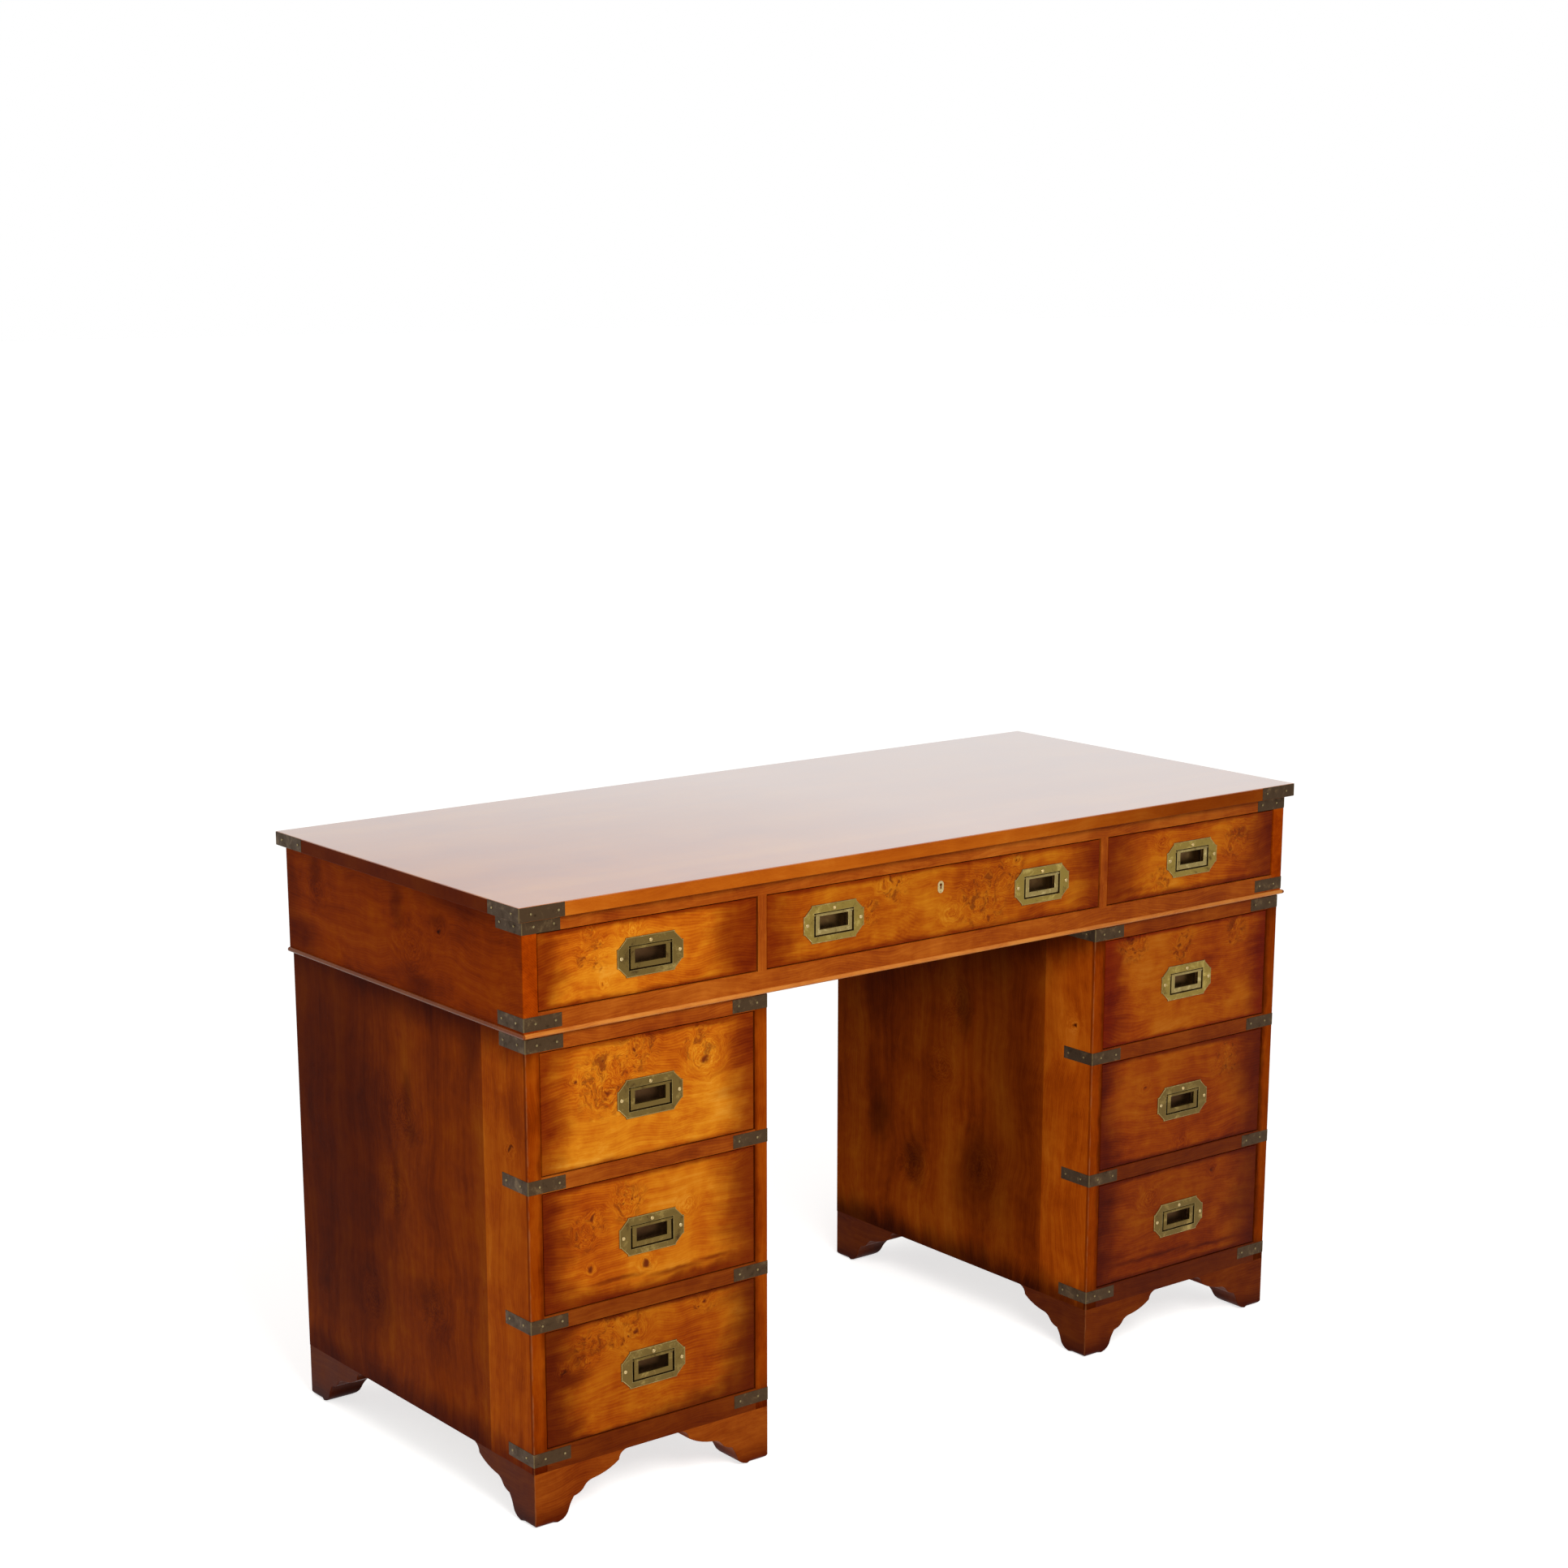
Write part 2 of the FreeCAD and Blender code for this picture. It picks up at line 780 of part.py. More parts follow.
def escutcheon_blank(opening):
    """The escutcheon before the keyhole is cut: a plate with round ends."""
    _, _, _, top = front_span(opening)
    radius = escutcheon_width / 2
    straight = escutcheon_height / 2 - radius
    start = front_face(opening) + escutcheon_let_in - escutcheon_thickness
    middle = Vector(opening.centre_x, start, top - keyhole_below_top - keyhole_slot_length / 2)
    blank = box(
        middle.x - radius, middle.x + radius, start, start + escutcheon_thickness,
        middle.z - straight, middle.z + straight,
    )
    ends = [
        Part.makeCylinder(radius, escutcheon_thickness, middle + Vector(0, 0, up), Vector(0, 1, 0))
        for up in (-straight, straight)
    ]
    return blank.fuse(ends).removeSplitter()


def bolt_channel(opening):
    """The bolt's way through the lock, open at the top."""
    _, _, _, top = front_span(opening)
    half_width = bolt_width / 2 + bolt_clearance
    half_depth = bolt_thickness / 2 + bolt_clearance
    middle = lock_middle()
    return box(
        opening.centre_x - half_width, opening.centre_x + half_width,
        middle - half_depth, middle + half_depth,
        top - lock_top_gap - lock_height + lock_floor, top,
    )


def lock_case(opening):
    """The lock's case, on the back of the centre drawer's front."""
    _, _, _, top = front_span(opening)
    back_of_front = front_face(opening) + drawer_front_thickness
    case_top = top - lock_top_gap
    case = box(
        opening.centre_x - lock_width / 2, opening.centre_x + lock_width / 2,
        back_of_front, back_of_front + lock_thickness, case_top - lock_height, case_top,
    )
    return [case.cut([bolt_channel(opening), keyhole(opening)])]


def lock_bolt(opening):
    """The bolt, drawn down flush with its case."""
    channel = bolt_channel(opening).BoundBox
    _, _, _, top = front_span(opening)
    return [
        box(
            channel.XMin + bolt_clearance, channel.XMax - bolt_clearance,
            channel.YMin + bolt_clearance, channel.YMax - bolt_clearance,
            channel.ZMin + bolt_clearance, top - lock_top_gap,
        )
    ]


# ---- Drawers ----
def drawer_front(opening):
    """The front board, its outer edges eased, with the pockets and holes for its brass."""
    left, right, bottom, top = front_span(opening)
    face = front_face(opening)
    board = box(left, right, face, face + drawer_front_thickness, bottom, top)
    board = eased(board, drawer_front_round, lambda edge: lies_at(edge, "Y", face))
    tools = []
    for centre in handle_centres(opening):
        tools.append(cup_pocket(centre))
        tools.extend(screws(centre))
    if opening.name == "frieze_centre":
        tools.extend([keyhole(opening), escutcheon_blank(opening)])
    return [cut_away(board, tools)]


def drawer_box(opening):
    """The two sides, the back and the bottom behind a drawer front."""
    left, right, _, top = front_span(opening)
    start = front_face(opening) + drawer_front_thickness
    end = opening.back - drawer_end_gap
    base = opening.z_low + drawer_running_gap
    side_top = top - drawer_side_drop
    floor = base + drawer_bottom_lift
    floor_top = floor + drawer_bottom_thickness
    inner_left = left + drawer_board_thickness
    inner_right = right - drawer_board_thickness
    inside_back = end - drawer_board_thickness
    back_top = side_top - drawer_back_drop
    return [
        box(left, inner_left, start, end, base, side_top),
        box(inner_right, right, start, end, base, side_top),
        box(inner_left, inner_right, inside_back, end, floor_top, back_top),
        box(inner_left, inner_right, start, end, floor, floor_top),
    ]


def drawer_nodes(opening):
    """Every named piece of one drawer."""
    centres = handle_centres(opening)
    fittings = []
    for centre in centres:
        fittings.append(handle_plate(centre))
        fittings.extend(screws(centre))
    nodes = {
        f"{opening.name}_drawer_front": drawer_front(opening),
        f"{opening.name}_drawer_box": drawer_box(opening),
        f"{opening.name}_drawer_handle": fittings,
    }
    if len(centres) == 1:
        nodes[f"{opening.name}_drawer_bail"] = [bail(centres[0])]
    else:
        for side, centre in zip(("left", "right"), centres):
            nodes[f"{opening.name}_drawer_{side}_bail"] = [bail(centre)]
    if opening.name == "frieze_centre":
        escutcheon = escutcheon_blank(opening).cut(keyhole(opening))
        nodes["keyhole_escutcheon"] = escutcheon.Solids
        nodes["lock_case"] = lock_case(opening)
        nodes["lock_bolt"] = lock_bolt(opening)
    return nodes


# ---- The whole desk ----
def desk_nodes():
    """Every node's name with its solids."""
    straps = slab_straps() + case_straps()
    nails = [nail for strap in straps for nail in strap_nails(strap)]
    brass = [strap_solid(strap) for strap in straps]
    wood = {
        "top_slab": top_slab(),
        "frieze_sides": frieze_sides(),
        "frieze_boards": frieze_boards(),
        "frieze_front_frame": frieze_front_frame(),
        "frieze_dividers": frieze_dividers(),
        "frieze_runners": frieze_runners(),
        "frieze_moulding": frieze_moulding(),
    }
    pedestal = {
        "sides": pedestal_sides(),
        "back": pedestal_back(),
        "rails": pedestal_rails(),
        "boards": pedestal_boards(),
        "feet": pedestal_feet(),
    }
    for name, solids in pedestal.items():
        wood[f"left_pedestal_{name}"] = solids
        wood[f"right_pedestal_{name}"] = to_right(solids)
    nodes = {
        name: [cut_away(solid, brass + nails) for solid in solids] for name, solids in wood.items()
    }
    fitted = [cut_away(strap, nails) for strap in brass]
    nodes["slab_corner_straps"] = fitted[: len(slab_straps())]
    nodes["case_corner_straps"] = fitted[len(slab_straps()):]
    nodes["strap_nails"] = nails
    for opening in frieze_openings() + pedestal_openings():
        nodes.update(drawer_nodes(opening))
    return nodes


def main():
    """Check that each node is made of sound solids, and write it."""
    os.makedirs("parts", exist_ok=True)
    for name, solids in desk_nodes().items():
        for solid in solids:
            if len(solid.Solids) != 1 or not solid.isValid():
                raise ValueError(f"{name} holds a shape that is not one sound solid")
        Part.makeCompound(solids).exportStep(os.path.join("parts", f"{name}.step"))
        print(f"{name}: {len(solids)} solids")


if __name__ == "__main__":
    main()
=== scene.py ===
"""The looks of a pedestal campaign desk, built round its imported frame.

The desk is veneered in yew, stained dark along the edges of its boards and polished. Its straps
and ring handles are of aged brass. Sizes are in millimetres until they reach a mesh, which is in
metres.
"""
import logging
import math
from collections.abc import Callable, Iterable, Sequence
from dataclasses import dataclass, replace
from enum import Enum

import bmesh
import bpy
from mathutils import Matrix, Vector


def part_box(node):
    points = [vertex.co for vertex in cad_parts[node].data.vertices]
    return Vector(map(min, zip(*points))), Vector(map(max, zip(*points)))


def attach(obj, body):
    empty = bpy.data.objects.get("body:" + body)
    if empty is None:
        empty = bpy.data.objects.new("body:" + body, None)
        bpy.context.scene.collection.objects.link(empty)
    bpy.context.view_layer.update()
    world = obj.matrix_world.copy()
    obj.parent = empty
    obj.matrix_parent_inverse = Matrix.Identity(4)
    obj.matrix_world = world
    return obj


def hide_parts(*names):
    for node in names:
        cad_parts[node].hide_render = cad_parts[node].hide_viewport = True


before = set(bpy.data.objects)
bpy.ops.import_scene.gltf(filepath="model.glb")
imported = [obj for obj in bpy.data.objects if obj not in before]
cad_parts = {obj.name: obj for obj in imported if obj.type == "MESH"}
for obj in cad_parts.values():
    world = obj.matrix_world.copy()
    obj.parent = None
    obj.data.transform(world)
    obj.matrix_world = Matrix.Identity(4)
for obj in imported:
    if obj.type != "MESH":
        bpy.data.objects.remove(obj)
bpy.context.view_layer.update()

log = logging.getLogger("campaign_desk")

MM = 0.001
TO_MM = 1000.0
# Places closer than this, in mm, are the same place.
SAME = 0.01
SHARP_DEGREES = 30
SMOOTH_DEGREES = 35

# A map range's setting for an edge that fades like a soft brush's.
SOFT = {"interpolation_type": "SMOOTHSTEP"}

Point = tuple[float, float, float]
Socket = bpy.types.NodeSocket
Feed = float | Sequence[float] | Socket


# ---- Sizes from the frame ----
def box_of(node_name: str) -> tuple[Point, Point]:
    """Look up where a node of the frame is at rest.

    Args:
        node_name: The node.

    Returns:
        Its lowest and highest corners in mm, as round as they were drawn.
    """
    low, high = (tuple(round(c * TO_MM, 2) for c in corner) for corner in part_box(node_name))
    return low, high


TOP_LOW, TOP_HIGH = box_of("top_slab")
CASE_LOW, CASE_HIGH = box_of("frieze_sides")
# The right pedestal's boards. The left one's mirror them.
PEDESTAL_LOW, PEDESTAL_HIGH = box_of("right_pedestal_sides")
PEDESTAL_INNER, PEDESTAL_FRONT, PEDESTAL_BOTTOM = PEDESTAL_LOW
PEDESTAL_OUTER, PEDESTAL_BACK = PEDESTAL_HIGH[:2]


# ---- Colours and nodes ----
def linear(hex_colour: str) -> tuple[float, float, float, float]:
    """Turn an sRGB hex colour to the linear values that a shader takes.

    Args:
        hex_colour: Six hex digits after a hash.

    Returns:
        Linear red, green, blue and an alpha of one.
    """
    shares = [int(hex_colour[i : i + 2], 16) / 255 for i in (1, 3, 5)]
    red, green, blue = (
        s / 12.92 if s <= 0.04045 else ((s + 0.055) / 1.055) ** 2.4 for s in shares
    )
    return red, green, blue, 1.0


def add_node(
    tree: bpy.types.NodeTree,
    kind: str,
    feeds: dict[int | str, Feed] | None = None,
    out: int | str = 0,
    stops: Sequence[tuple[float, str]] = (),
    **settings: object,
) -> Socket:
    """Add one node with its settings, and values or links into its sockets.

    Args:
        tree: The node tree that gets the node.
        kind: The node's type, without the words that every shader node's type starts with.
        feeds: Each socket's index or name, with its value or the socket that feeds it.
        out: Index or name of the output that is wanted.
        stops: Places and hex colours of a colour ramp.
        settings: The node's own settings.

    Returns:
        The wanted output.
    """
    made = tree.nodes.new("ShaderNode" + kind)
    for name, value in settings.items():
        setattr(made, name, value)
    for key, feed in (feeds or {}).items():
        if isinstance(feed, Socket):
            tree.links.new(feed, made.inputs[key])
        else:
            made.inputs[key].default_value = feed
    for index, (place, colour) in enumerate(stops):
        ramp = made.color_ramp.elements
        stop = ramp[index] if index < len(ramp) else ramp.new(place)
        stop.position = place
        stop.color = linear(colour)
    return made.outputs[out]


class Bench:
    """One material while it is being made.

    Attributes:
        material: The material.
        tree: Its node tree.
        shader: Its shader.
        place: Feeds each point's place in mm.
    """

    def __init__(self, name: str) -> None:
        """Start a material.

        Args:
            name: The material's name.
        """
        self.material = bpy.data.materials.new(name)
        self.material.use_nodes = True
        self.tree = self.material.node_tree
        self.shader = self.tree.nodes["Principled BSDF"]
        metres = self.add("TexCoord", out="Object")
        self.place = self.add("Mapping", {"Vector": metres, "Scale": (TO_MM,) * 3})

    def add(
        self,
        kind: str,
        feeds: dict[int | str, Feed] | None = None,
        out: int | str = 0,
        **settings: object,
    ) -> Socket:
        """Add one node to this material, as add_node does."""
        return add_node(self.tree, kind, feeds, out, **settings)

    def feed_shader(self, **feeds: Feed) -> None:
        """Give the shader its values and links.

        Args:
            feeds: Each socket's name, written with underscores, and its value or what feeds it.
        """
        for name, feed in feeds.items():
            socket = self.shader.inputs[name.replace("_", " ")]
            if isinstance(feed, Socket):
                self.tree.links.new(feed, socket)
            else:
                socket.default_value = feed


# ---- Woods ----
class Run(Enum):
    """The way that a board's grain runs."""

    ALONG_X = (1, 0, 0)
    ALONG_Y = (0, 1, 0)
    ALONG_Z = (0, 0, 1)


@dataclass(frozen=True)
class Knot:
    """A knot or burr eye that the growth lines flow round.

    Attributes:
        at: Its middle, in mm.
        reach: How far it bends the lines, in mm.
        lift: How far it pushes them at its middle, in mm.
        core: Radius of its dark core, in mm, or zero.
    """

    at: Point
    reach: float
    lift: float
    core: float = 0.0


@dataclass(frozen=True)
class Shade:
    """A soft dark place: a patch of dark figure, or on some boards painted shade or shadow.

    Attributes:
        at: Its middle, in mm.
        reach: How far it goes along each axis, in mm.
        depth: How dark it is, from 0 to 1.
    """

    at: Point
    reach: Point
    depth: float = 0.8


@dataclass(frozen=True)
class Stain:
    """Dark stain rubbed in along a board's edges. On the pedestals' rails it stands for painted
    shade instead, darker towards the floor.

    Attributes:
        low: The board's lowest corner, in mm.
        high: Its highest corner.
        low_width: How far the stain reaches in from each low face. None is zero or less.
        high_width: The same, from each high face.
        feather: How far its inner edge runs out along the grain, in mm.
    """

    low: Point
    high: Point
    low_width: Point
    high_width: Point
    feather: float = 26.0


@dataclass(frozen=True)
class Sheet:
    """A sheet of veneer of another colour, on one side of a straight joint.

    Attributes:
        axis: 0, 1 or 2.
        joint: Place of the joint on it, in mm.
        tint: What the sheet's colours are multiplied by.
        below: Whether the sheet lies below the joint on the axis, or else above.
    """

    axis: int
    joint: float
    tint: str
    below: bool = False


@dataclass(frozen=True)
class Cross:
    """A zone where a node's boards run the other way, on both sides of the desk.

    Attributes:
        x: Distance of the zone's middle from the desk's middle, in mm.
        half_width: Half its width.
        z: Height of its middle.
        half_height: Half its height.
        run: How the grain runs there.
    """

    x: float
    half_width: float
    z: float
    half_height: float
    run: Run


@dataclass(frozen=True)
class Cut:
    """How one board is cut from its wood.

    Attributes:
        run: The way its grain runs.
        seed: Which part of the log it comes from.
        knots: Its knots.
        burrs: Patches of burr, as middle and reach in mm.
        shades: Its soft dark places: dark figure, and on some boards painted shade or shadow.
        stain: Its stained edges, or on the pedestals' rails painted shade towards the floor.
        sheets: Sheets of veneer of other colours.
        cross: Where the grain runs another way.
        deep: What its colours are multiplied by where stain or shade is full.
        wash: What the whole board's colours are multiplied by: its own tone, and on some boards
            painted shade too.
        shift: How much paler, or darker below zero, the board is than its fellows, on some boards
            partly as painted light and shade.
        worn_and_highlit: Upright corners, as x and y in mm, whose polish is rubbed through, and
        which are painted paler also as a highlight on the arris.
    """

    run: Run
    seed: int = 0
    knots: tuple[Knot, ...] = ()
    burrs: tuple[tuple[Point, float], ...] = ()
    shades: tuple[Shade, ...] = ()
    stain: Stain | None = None
    sheets: tuple[Sheet, ...] = ()
    cross: Cross | None = None
    deep: str = "#a57a66"
    wash: str = "#ffffff"
    shift: float = 0.0
    worn_and_highlit: tuple[tuple[float, float], ...] = ()


# How far apart two boards lie in the log, in mm, for each step of their seeds.
LOG_STEP = (613.0, 271.0, 389.0)
# Sizes of what shows in a board, in mm.
SWEEP_SIZE = 170.0
CLOUD_SIZE = 85.0
MOTTLE_SIZE = 17.0
CURL_SIZE = 18.0
UNREST_SIZE = 9.0
KNOT_RING = 5.2
TWIG_SPACING = 11.0
BURR_CLOUD_SIZE = 15.0
WAVER_SIZE = 30.0
# How far curls move the edge of a knot or a burr, and the grain inside a burr, in mm.
EDGE_CURL = 22.0
BURR_CURL = 34.0
# How much of the board's tone the rings round a knot make.
KNOT_RING_WEIGHT = 0.09
# A worn corner: its colour, paler from wear and as a painted highlight on the arris, and how far
# from its edge, in mm, it is worn through and not at all.
WORN_AND_HIGHLIGHT_COLOUR = "#a0643c"
WORN_THROUGH = 2.4
WORN_END = 4.4
# What elbows have left of the thick coat.
ELBOW_SHARE = 0.45


@dataclass(frozen=True)
class Wood:
    """A wood and its polish.

    Attributes:
        name: Common name and how it was finished.
        stops: Colours from the darkest line to the palest, with their places from 0 to 1.
        pip: Colour of knots' cores and of burr pips.
        ring: Spacing of the growth lines, in mm.
        short: Width of a streak, in mm.
        long: Length of a streak, in mm.
        wander: How far the grain wanders, in mm.
        clouds: How strongly broad clouds of colour show.
        bands: How strongly broad bands along the grain show.
        mottle: How strongly thumb-sized mottling shows.
        streaks: How strongly streaks show.
        lines: How strongly the growth lines show.
        fibres: How strongly single fibres show.
        roughness: Roughness of its polish, from the glossiest place to the dullest.
        ior: IOR of the polish.
        sheen: What the polish tints its own reflection by.
        coat: Weight, roughness and IOR of a thick clear coat.
        elbow: Where elbows have thinned the coat, as middle and reach in mm, or nothing.
        relief: Height of the grain under the polish, in mm.
    """

    name: str
    stops: tuple[tuple[float, str], ...]
    pip: str
    ring: float = 3.4
    short: float = 7.0
    long: float = 210.0
    wander: float = 26.0
    clouds: float = 1.1
    bands: float = 0.3
    mottle: float = 0.35
    streaks: float = 0.6
    lines: float = 0.1
    fibres: float = 0.3
    roughness: tuple[float, float] = (0.24, 0.4)
    ior: float = 1.25
    sheen: str = "#e7aa7c"
    coat: tuple[float, float, float] = (0.0, 0.03, 1.5)
    elbow: tuple[Point, float] | None = None
    relief: float = 0.02

    def material(self, label: str, cut: Cut) -> bpy.types.Material:
        """Make this wood's material for one board.

        Args:
            label: The board's name.
            cut: How the board is cut.

        Returns:
            The material.
        """
        board = Board(self, cut, label)
        board.polish(board.colour())
        return board.material


class Board(Bench):
    """One board's material while it is being made.

    Attributes:
        wood: Its wood and its polish.
        cut: How it is cut.
        core: How much a point is in a knot's dark core, from 0 to 1.
        burr: How much it is in burr.
        eye: How much it is near a knot.
        rings: The knots' own rings, from -1 to 1.
        bent: The point as the grain bends it.
        squeezed: The same, squeezed along the grain, which turns plain noise to streaks.
        cloud: Clouds of colour a hand wide, from 0 to 1.
        mottle: Mottling a thumb wide.
        fibre: Single fibres.
        line: Growth lines, from below zero to above it.
    """

    def __init__(self, wood: Wood, cut: Cut, label: str) -> None:
        """Start the material, and draw the board's grain.

        Args:
            wood: The board's wood and its polish.
            cut: How it is cut.
            label: Its name.
        """
        super().__init__(f"{wood.name}, {label}")
        self.wood, self.cut = wood, cut
        self.core, self.burr, self.eye, self.rings = (0.0,) * 4
        self.bent = self.bend()
        add, bent = self.add, self.bent
        self.squeezed = add("VectorMath", {0: bent, 1: self.squeeze()}, operation="MULTIPLY")
        self.cloud = add(
            "TexNoise", {"Vector": bent, "Scale": 1 / CLOUD_SIZE, "Detail": 3.0, "Roughness": 0.55}
        )
        self.mottle = add(
            "TexNoise", {"Vector": bent, "Scale": 1 / MOTTLE_SIZE, "Detail": 3.0, "Roughness": 0.6}
        )
        self.fibre = add(
            "TexNoise", {"Vector": self.squeezed, "Scale": 9.0, "Detail": 3.0, "Roughness": 0.6}
        )
        self.line = self.draw_lines()

    def bend(self) -> Socket:
        """Bend the grain, which wanders slowly and flows round knots and burr.

        Returns:
            The point as the grain bends it.
        """
        add, cut = self.add, self.cut
        step = tuple(cut.seed * size for size in LOG_STEP)
        log_place = add("VectorMath", {0: self.place, 1: step}, operation="ADD")
        across = tuple(1 - runs for runs in cut.run.value)
        slow = add("TexNoise", {"Vector": log_place, "Scale": 1 / SWEEP_SIZE}, "Color")
        slow = add("VectorMath", {0: slow, 1: (0.5,) * 3}, operation="SUBTRACT")
        reach = tuple(2 * self.wood.wander * a for a in across)
        bent = add("VectorMath", {0: slow, 1: reach, 2: log_place}, operation="MULTIPLY_ADD")
        if not (cut.knots or cut.burrs):
            return bent
        curl = add("TexNoise", {"Vector": log_place, "Scale": 1 / CURL_SIZE}, "Color")
        curl = add("VectorMath", {0: curl, 1: (0.5,) * 3}, operation="SUBTRACT")
        loose = {0: curl, 1: (EDGE_CURL,) * 3, 2: self.place}
        loose = add("VectorMath", loose, operation="MULTIPLY_ADD")
        if cut.knots:
            lift = self.grow_knots(log_place, loose)
            pushed = add("VectorMath", {0: across, "Scale": lift}, operation="SCALE")
            bent = add("VectorMath", {0: bent, 1: pushed}, operation="ADD")
        for middle, reach in cut.burrs:
            away = add("VectorMath", {0: loose, 1: middle}, "Value", operation="DISTANCE")
            inside = add("MapRange", {0: away, 1: reach * 0.4, 2: reach, 3: 1.0, 4: 0.0}, **SOFT)
            self.burr = add("Math", {0: inside, 1: self.burr}, operation="MAXIMUM")
        if cut.burrs:
            curl = add("VectorMath", {0: curl, "Scale": BURR_CURL}, operation="SCALE")
            curl = add("VectorMath", {0: curl, "Scale": self.burr}, operation="SCALE")
            bent = add("VectorMath", {0: bent, 1: curl}, operation="ADD")
        return bent

    def grow_knots(self, log_place: Socket, loose: Socket) -> Socket:
        """Draw the knots' eyes, rings and cores.

        Args:
            log_place: The point's place in the log, in mm.
            loose: The point's place on the desk, curled, so that no knot is round.

        Returns:
            How far the knots push the lines there, in mm.
        """
        add = self.add
        unrest = add("TexNoise", {"Vector": log_place, "Scale": 1 / UNREST_SIZE, "Detail": 3.0})
        unrest = add("Math", {0: unrest, 1: 14.0}, operation="MULTIPLY")
        turns = 2 * math.pi / KNOT_RING
        lift: Feed = 0.0
        for knot in self.cut.knots:
            away = add("VectorMath", {0: loose, 1: knot.at}, "Value", operation="DISTANCE")
            near = add("MapRange", {0: away, 1: 0.0, 2: knot.reach, 3: 1.0, 4: 0.0}, **SOFT)
            lift = add("Math", {0: near, 1: knot.lift, 2: lift}, operation="MULTIPLY_ADD")
            self.eye = add("Math", {0: near, 1: self.eye}, operation="MAXIMUM")
            ring = add("Math", {0: away, 1: turns, 2: unrest}, operation="MULTIPLY_ADD")
            ring = add("Math", {0: ring}, operation="SINE")
            self.rings = add("Math", {0: ring, 1: near, 2: self.rings}, operation="MULTIPLY_ADD")
            if knot.core:
                full, bare = knot.core * 0.35, knot.core * 1.4
                inside = add("MapRange", {0: away, 1: full, 2: bare, 3: 1.0, 4: 0.0}, **SOFT)
                self.core = add("Math", {0: inside, 1: self.core}, operation="MAXIMUM")
        return lift

    def squeeze(self) -> Feed:
        """Work out how much the point is squeezed for the way the grain runs there.

        Returns:
            What its place is multiplied by along each axis.
        """
        wood, cut = self.wood, self.cut

        def along_run(run: Run) -> Point:
            """The squeezing for a grain that runs this way."""
            return tuple(1 / wood.long if runs else 1 / wood.short for runs in run.value)

        if not cut.cross:
            return along_run(cut.run)
        add, zone = self.add, cut.cross
        x = add("Math", {0: add("SeparateXYZ", {0: self.place}, 0)}, operation="ABSOLUTE")
        z = add("SeparateXYZ", {0: self.place}, 2)
        in_x = add("Math", {0: x, 1: zone.x, 2: zone.half_width}, operation="COMPARE")
        in_z = add("Math", {0: z, 1: zone.z, 2: zone.half_height}, operation="COMPARE")
        inside = add("Math", {0: in_x, 1: in_z}, operation="MULTIPLY")
        outer, inner = along_run(cut.run), along_run(zone.run)
        return add("Mix", {0: inside, 4: outer, 5: inner}, 1, data_type="VECTOR")

    def draw_lines(self) -> Socket:
        """Draw the growth lines, which come and go, and are darkest round knots and in burr.

        Returns:
            Their strength, from below zero to above it.
        """
        add = self.add
        line = add(
            "TexWave",
            {
                "Vector": self.squeezed,
                "Scale": 2 * math.pi / 10 * self.wood.short / self.wood.ring,
                "Distortion": 2.2,
                "Detail": 3.0,
                "Detail Scale": 0.7,
            },
            out="Fac",
            bands_direction="DIAGONAL",
            wave_profile="SIN",
        )
        shown = add("MapRange", {0: self.cloud, 1: 0.4, 2: 0.62, 3: 1.0, 4: 0.25}, **SOFT)
        wild = add("Math", {0: self.burr, 1: self.eye}, operation="MAXIMUM")
        shown = add("Math", {0: wild, 1: 1.1, 2: shown}, operation="MULTIPLY_ADD")
        line = add("Math", {0: line, 1: 0.5}, operation="SUBTRACT")
        return add("Math", {0: line, 1: shown}, operation="MULTIPLY")

    def colour(self) -> Socket:
        """Mix the board's colour.

        Returns:
            The colour under the polish.
        """
        add, wood, cut, place = self.add, self.wood, self.cut, self.squeezed
        band = add("TexNoise", {"Vector": place, "Scale": 1 / 7, "Detail": 2.0})
        streak = add("TexNoise", {"Vector": place, "Scale": 1.0, "Detail": 4.0, "Roughness": 0.62})
        mean = (wood.clouds + wood.bands + wood.mottle + wood.streaks + wood.fibres) / 2
        tone: Feed = 0.5 + cut.shift - mean
        for part, weight in (
            (self.cloud, wood.clouds),
            (band, wood.bands),
            (self.mottle, wood.mottle),
            (streak, wood.streaks),
            (self.line, wood.lines),
            (self.fibre, wood.fibres),
            (self.rings, KNOT_RING_WEIGHT),
        ):
            tone = add("Math", {0: part, 1: weight, 2: tone}, operation="MULTIPLY_ADD")
        colour = add("ValToRGB", {0: tone}, stops=wood.stops)
        if cut.knots or cut.burrs:
            dark = self.pips() if cut.burrs else self.core
            colour = add("Mix", {0: dark, 6: colour, 7: linear(wood.pip)}, 2, data_type="RGBA")
        for share, tint in self.tints():
            feeds = {0: share, 6: colour, 7: linear(tint)}
            colour = add("Mix", feeds, 2, data_type="RGBA", blend_type="MULTIPLY")
        # Worn corners: paler where rubbed through, and partly a painted highlight on the arris.
        for x, y in cut.worn_and_highlit:
            level = add("VectorMath", {0: self.place, 1: (1, 1, 0)}, operation="MULTIPLY")
            near = add("VectorMath", {0: level, 1: (x, y, 0)}, "Value", operation="DISTANCE")
            near = add("Math", {0: self.mottle, 1: 5.0, 2: near}, operation="MULTIPLY_ADD")
            levels = {0: near, 1: WORN_THROUGH, 2: WORN_END, 3: 0.4, 4: 0.0}
            rubbed = add("MapRange", levels, **SOFT)
            colour = add("Mix", {0: rubbed, 6: colour, 7: linear(WORN_AND_HIGHLIGHT_COLOUR)}, 2, data_type="RGBA")
        return colour

    def pips(self) -> Socket:
        """Draw the burr's pips, which are the cut ends of tiny twigs.

        Returns:
            How much the point is in a pip or a knot's core, from 0 to 1.
        """
        add = self.add
